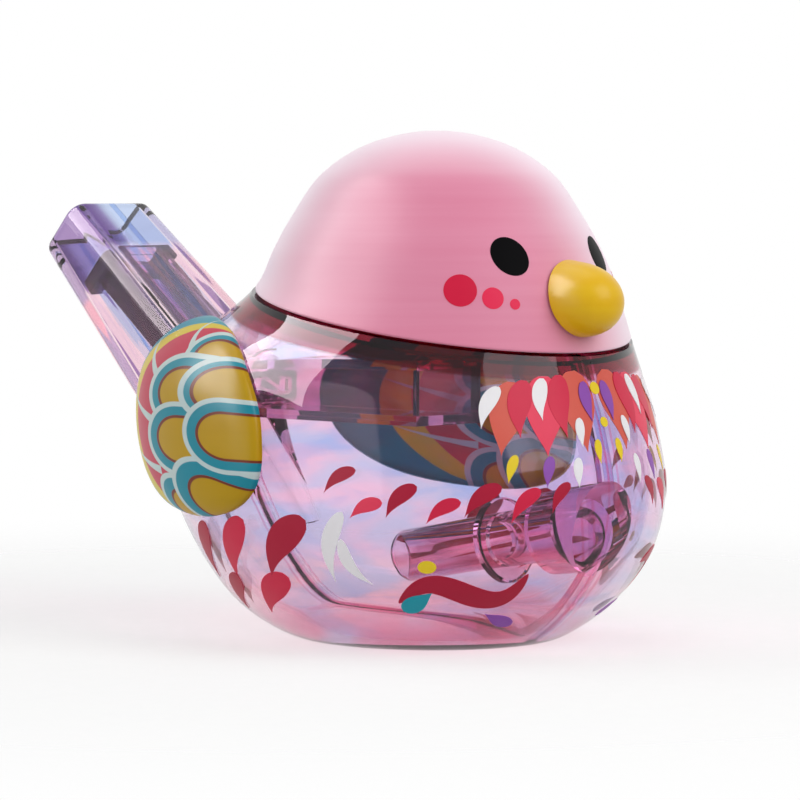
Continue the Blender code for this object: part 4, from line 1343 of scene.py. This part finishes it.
# %% Breast plumage, mirrored on both sides
BREAST_PETALS = (
    (6, 0.0280, 0.0096, 0.00260, CORAL_INK, -86, 0.1, 0),
    (26, 0.0274, 0.0088, 0.00220, CORAL_INK, -72, 0.1, 0),
    (16, 0.0276, 0.0094, 0.00260, ROSE_INK, -80, 0.1, 1),
    (11, 0.0286, 0.0074, 0.00150, RED_INK, -84, 0.2, 2),
    (22, 0.0284, 0.0068, 0.00145, RED_INK, -76, 0.2, 2),
    (3.5, 0.0290, 0.0048, 0.00090, PURPLE_INK, -88, 0.1, 3),
    (16.5, 0.0294, 0.0050, 0.00095, WHITE_INK, -78, 0.2, 3),
    (30, 0.0286, 0.0054, 0.00090, WHITE_INK, -62, 0.2, 3),
    (8, 0.0256, 0.0034, 0.00065, WHITE_INK, -86, 0.1, 3),
    (3.5, 0.0234, 0.0028, 0.00055, YELLOW_INK, -88, 0.1, 3),
    (10.5, 0.0212, 0.0034, 0.00065, WHITE_INK, -84, 0.1, 0),
    (18.5, 0.0214, 0.0036, 0.00070, PURPLE_INK, -76, 0.1, 0),
    (27.5, 0.0218, 0.0034, 0.00060, YELLOW_INK, -70, 0.1, 0),
)
for side, label in SIDES:
    for number, (angle, height, length, width, colour, turn, bend, layer) in enumerate(BREAST_PETALS):
        petal(f"breast_petal_{number}_{label}", side * angle, height, length, width, colour,
              turn=turn if side > 0 else 180 - turn, bend=bend * side, layer=layer)
for number, (height, radius) in enumerate(((0.0304, 0.00075), (0.0266, 0.00060))):
    oval_mark(f"breast_dot_{number}", 0.0, height, radius, radius, YELLOW_INK, layer=4)

# %% Belly petals
PETALS_PER_LAYER = 9
BELLY_PETALS = (
    (66, 0.0204, 0.0046, 0.00075, DEEP_RED_INK, 215),
    (61, 0.0172, 0.0042, 0.00080, ROSE_INK, 205),
    (53, 0.0182, 0.0050, 0.00090, DEEP_RED_INK, 225),
    (44, 0.0170, 0.0046, 0.00080, RED_INK, 212),
    (35, 0.0182, 0.0054, 0.00095, DEEP_RED_INK, 218),
    (25, 0.0176, 0.0050, 0.00085, RED_INK, 226),
    (16, 0.0184, 0.0040, 0.00070, DEEP_RED_INK, 234),
    (83, 0.0122, 0.0098, 0.00185, DEEP_RED_INK, 228),
    (100, 0.0116, 0.0092, 0.00175, RED_INK, 238),
    (115, 0.0110, 0.0082, 0.00150, DEEP_RED_INK, 244),
    (92, 0.0064, 0.0088, 0.00165, RED_INK, 222),
    (110, 0.0062, 0.0070, 0.00130, DEEP_RED_INK, 232),
    (69, 0.0128, 0.0086, 0.00100, WHITE_INK, 258),
    (65, 0.0112, 0.0064, 0.00075, WHITE_INK, 300),
)
for side, label in SIDES:
    for number, (angle, height, length, width, colour, turn) in enumerate(BELLY_PETALS):
        layer = number % 2 + number // PETALS_PER_LAYER
        petal(f"belly_petal_{number}_{label}", side * angle, height, length, width, colour,
              turn=turn if side < 0 else 180 - turn, bend=0.25 * side, layer=layer)
    ribbon("belly_ribbon_" + label, side * 38, 0.0076, 0.0150, 0.0022, 0.00145, DEEP_RED_INK, turn=side * -16)
    petal("belly_leaf_teal_" + label, side * 50, 0.0066, 0.0044, 0.00120, TEAL_INK,
          turn=90 + side * 50, layer=1)
    petal("belly_leaf_purple_" + label, side * 26, 0.0042, 0.0044, 0.00095, PURPLE_INK, turn=90 - side * 60)
    oval_mark("belly_dot_yellow_" + label, side * math.radians(48), 0.0108, 0.00105, 0.00080, YELLOW_INK)

# %% [markdown]
# ## Floor, lamps and background
#
# A small round table top of white card catches the soft shadow and fades out at its edge, where the white
# background takes over. Lamps are large, so their light is soft: a key high on the right, a low front lamp on
# the left, one at the left side and one overhead. A window behind on the left shows only as a reflection.
# The background is white to the camera and to what clear plastic and gloss pass on.

# %% Floor
FLOOR_RADIUS, FLOOR_LEVEL, FLOOR_EDGES = 0.30, -0.00005, 96
CARD_DARK, CARD_PALE, CARD_GRAIN = (0.93, 0.93, 0.93, 1.0), (0.96, 0.96, 0.96, 1.0), 400.0
FADE_FROM, FADE_TO, CARD_STRENGTH = 0.06, 0.16, 0.45


def floor():
    points = [(FLOOR_RADIUS * math.cos(spin), FLOOR_RADIUS * math.sin(spin), FLOOR_LEVEL)
              for spin in full_turn(FLOOR_EDGES)]
    disc = new_piece("floor", points, [tuple(range(len(points)))])
    material, tree, shader = new_material("white card", CARD_PALE)
    place = object_place(tree)
    card = mix_colour(tree, noise(tree, place, CARD_GRAIN), CARD_DARK, CARD_PALE)
    fade = soft_rise(tree, vector_math(tree, "LENGTH", place), FADE_FROM, FADE_TO, CARD_STRENGTH, 0.0)
    feed_all(tree, shader, Base_Color=card, Roughness=0.9, Specular_IOR_Level=0.0, Alpha=fade)
    disc.data.materials.append(material)


floor()


# %% Lamps
LAMP_AIM = Vector((0, 0, 0.03))
REFLECTED_BOUNCES = 2


def lamp(name, direction, distance, size, power, only_reflected=False):
    """A square lamp that faces the bird from a direction."""
    light = bpy.data.lights.new(name, "AREA")
    light.size = size
    light.energy = power
    stand = new_object(name, light)
    face_back(stand, LAMP_AIM, direction.normalized(), distance)
    if only_reflected:
        stand.visible_diffuse = False
        stand.visible_transmission = False
        light.cycles.max_bounces = REFLECTED_BOUNCES


lamp("key", to_camera * 0.6 + camera_right * 0.85 + Vector((0, 0, 0.65)), 0.6, 0.42, 1.85)
lamp("front", to_camera * 0.8 - camera_right * 0.75 + Vector((0, 0, 0.05)), 0.7, 0.50, 1.0)
lamp("side", -camera_right - to_camera * 0.15 + Vector((0, 0, 0.40)), 0.6, 0.30, 0.50)
lamp("overhead", Vector((0, 0.2, 1)), 0.6, 0.50, 1.0)
lamp("window", Vector((-0.62, 0.42, 0.60)), 0.5, 0.46, 8.0, only_reflected=True)

# %% Background
world = bpy.data.worlds.new("white studio")
bpy.context.scene.world = world
world.use_nodes = True
tree = world.node_tree
tree.nodes.clear()
ROOM_LIGHT = 0.40
MOST_BOUNCES, CLEAR_BOUNCES, SHADOW_BOUNCES = 24, 20, 32
path = add_node(tree, "ShaderNodeLightPath").outputs
passed_on = math_node(tree, "MAXIMUM", path["Is Glossy Ray"], path["Is Transmission Ray"])
seen = math_node(tree, "MAXIMUM", path["Is Camera Ray"], passed_on)
strength = math_node(tree, "MULTIPLY_ADD", seen, 1.0 - ROOM_LIGHT, ROOM_LIGHT)
background = feed_all(tree, add_node(tree, "ShaderNodeBackground"), Color=WHITE, Strength=strength)
feed_all(tree, add_node(tree, "ShaderNodeOutputWorld"), Surface=background.outputs[0])
bpy.context.scene.cycles.max_bounces = MOST_BOUNCES
bpy.context.scene.cycles.transmission_bounces = CLEAR_BOUNCES
bpy.context.scene.cycles.transparent_max_bounces = SHADOW_BOUNCES
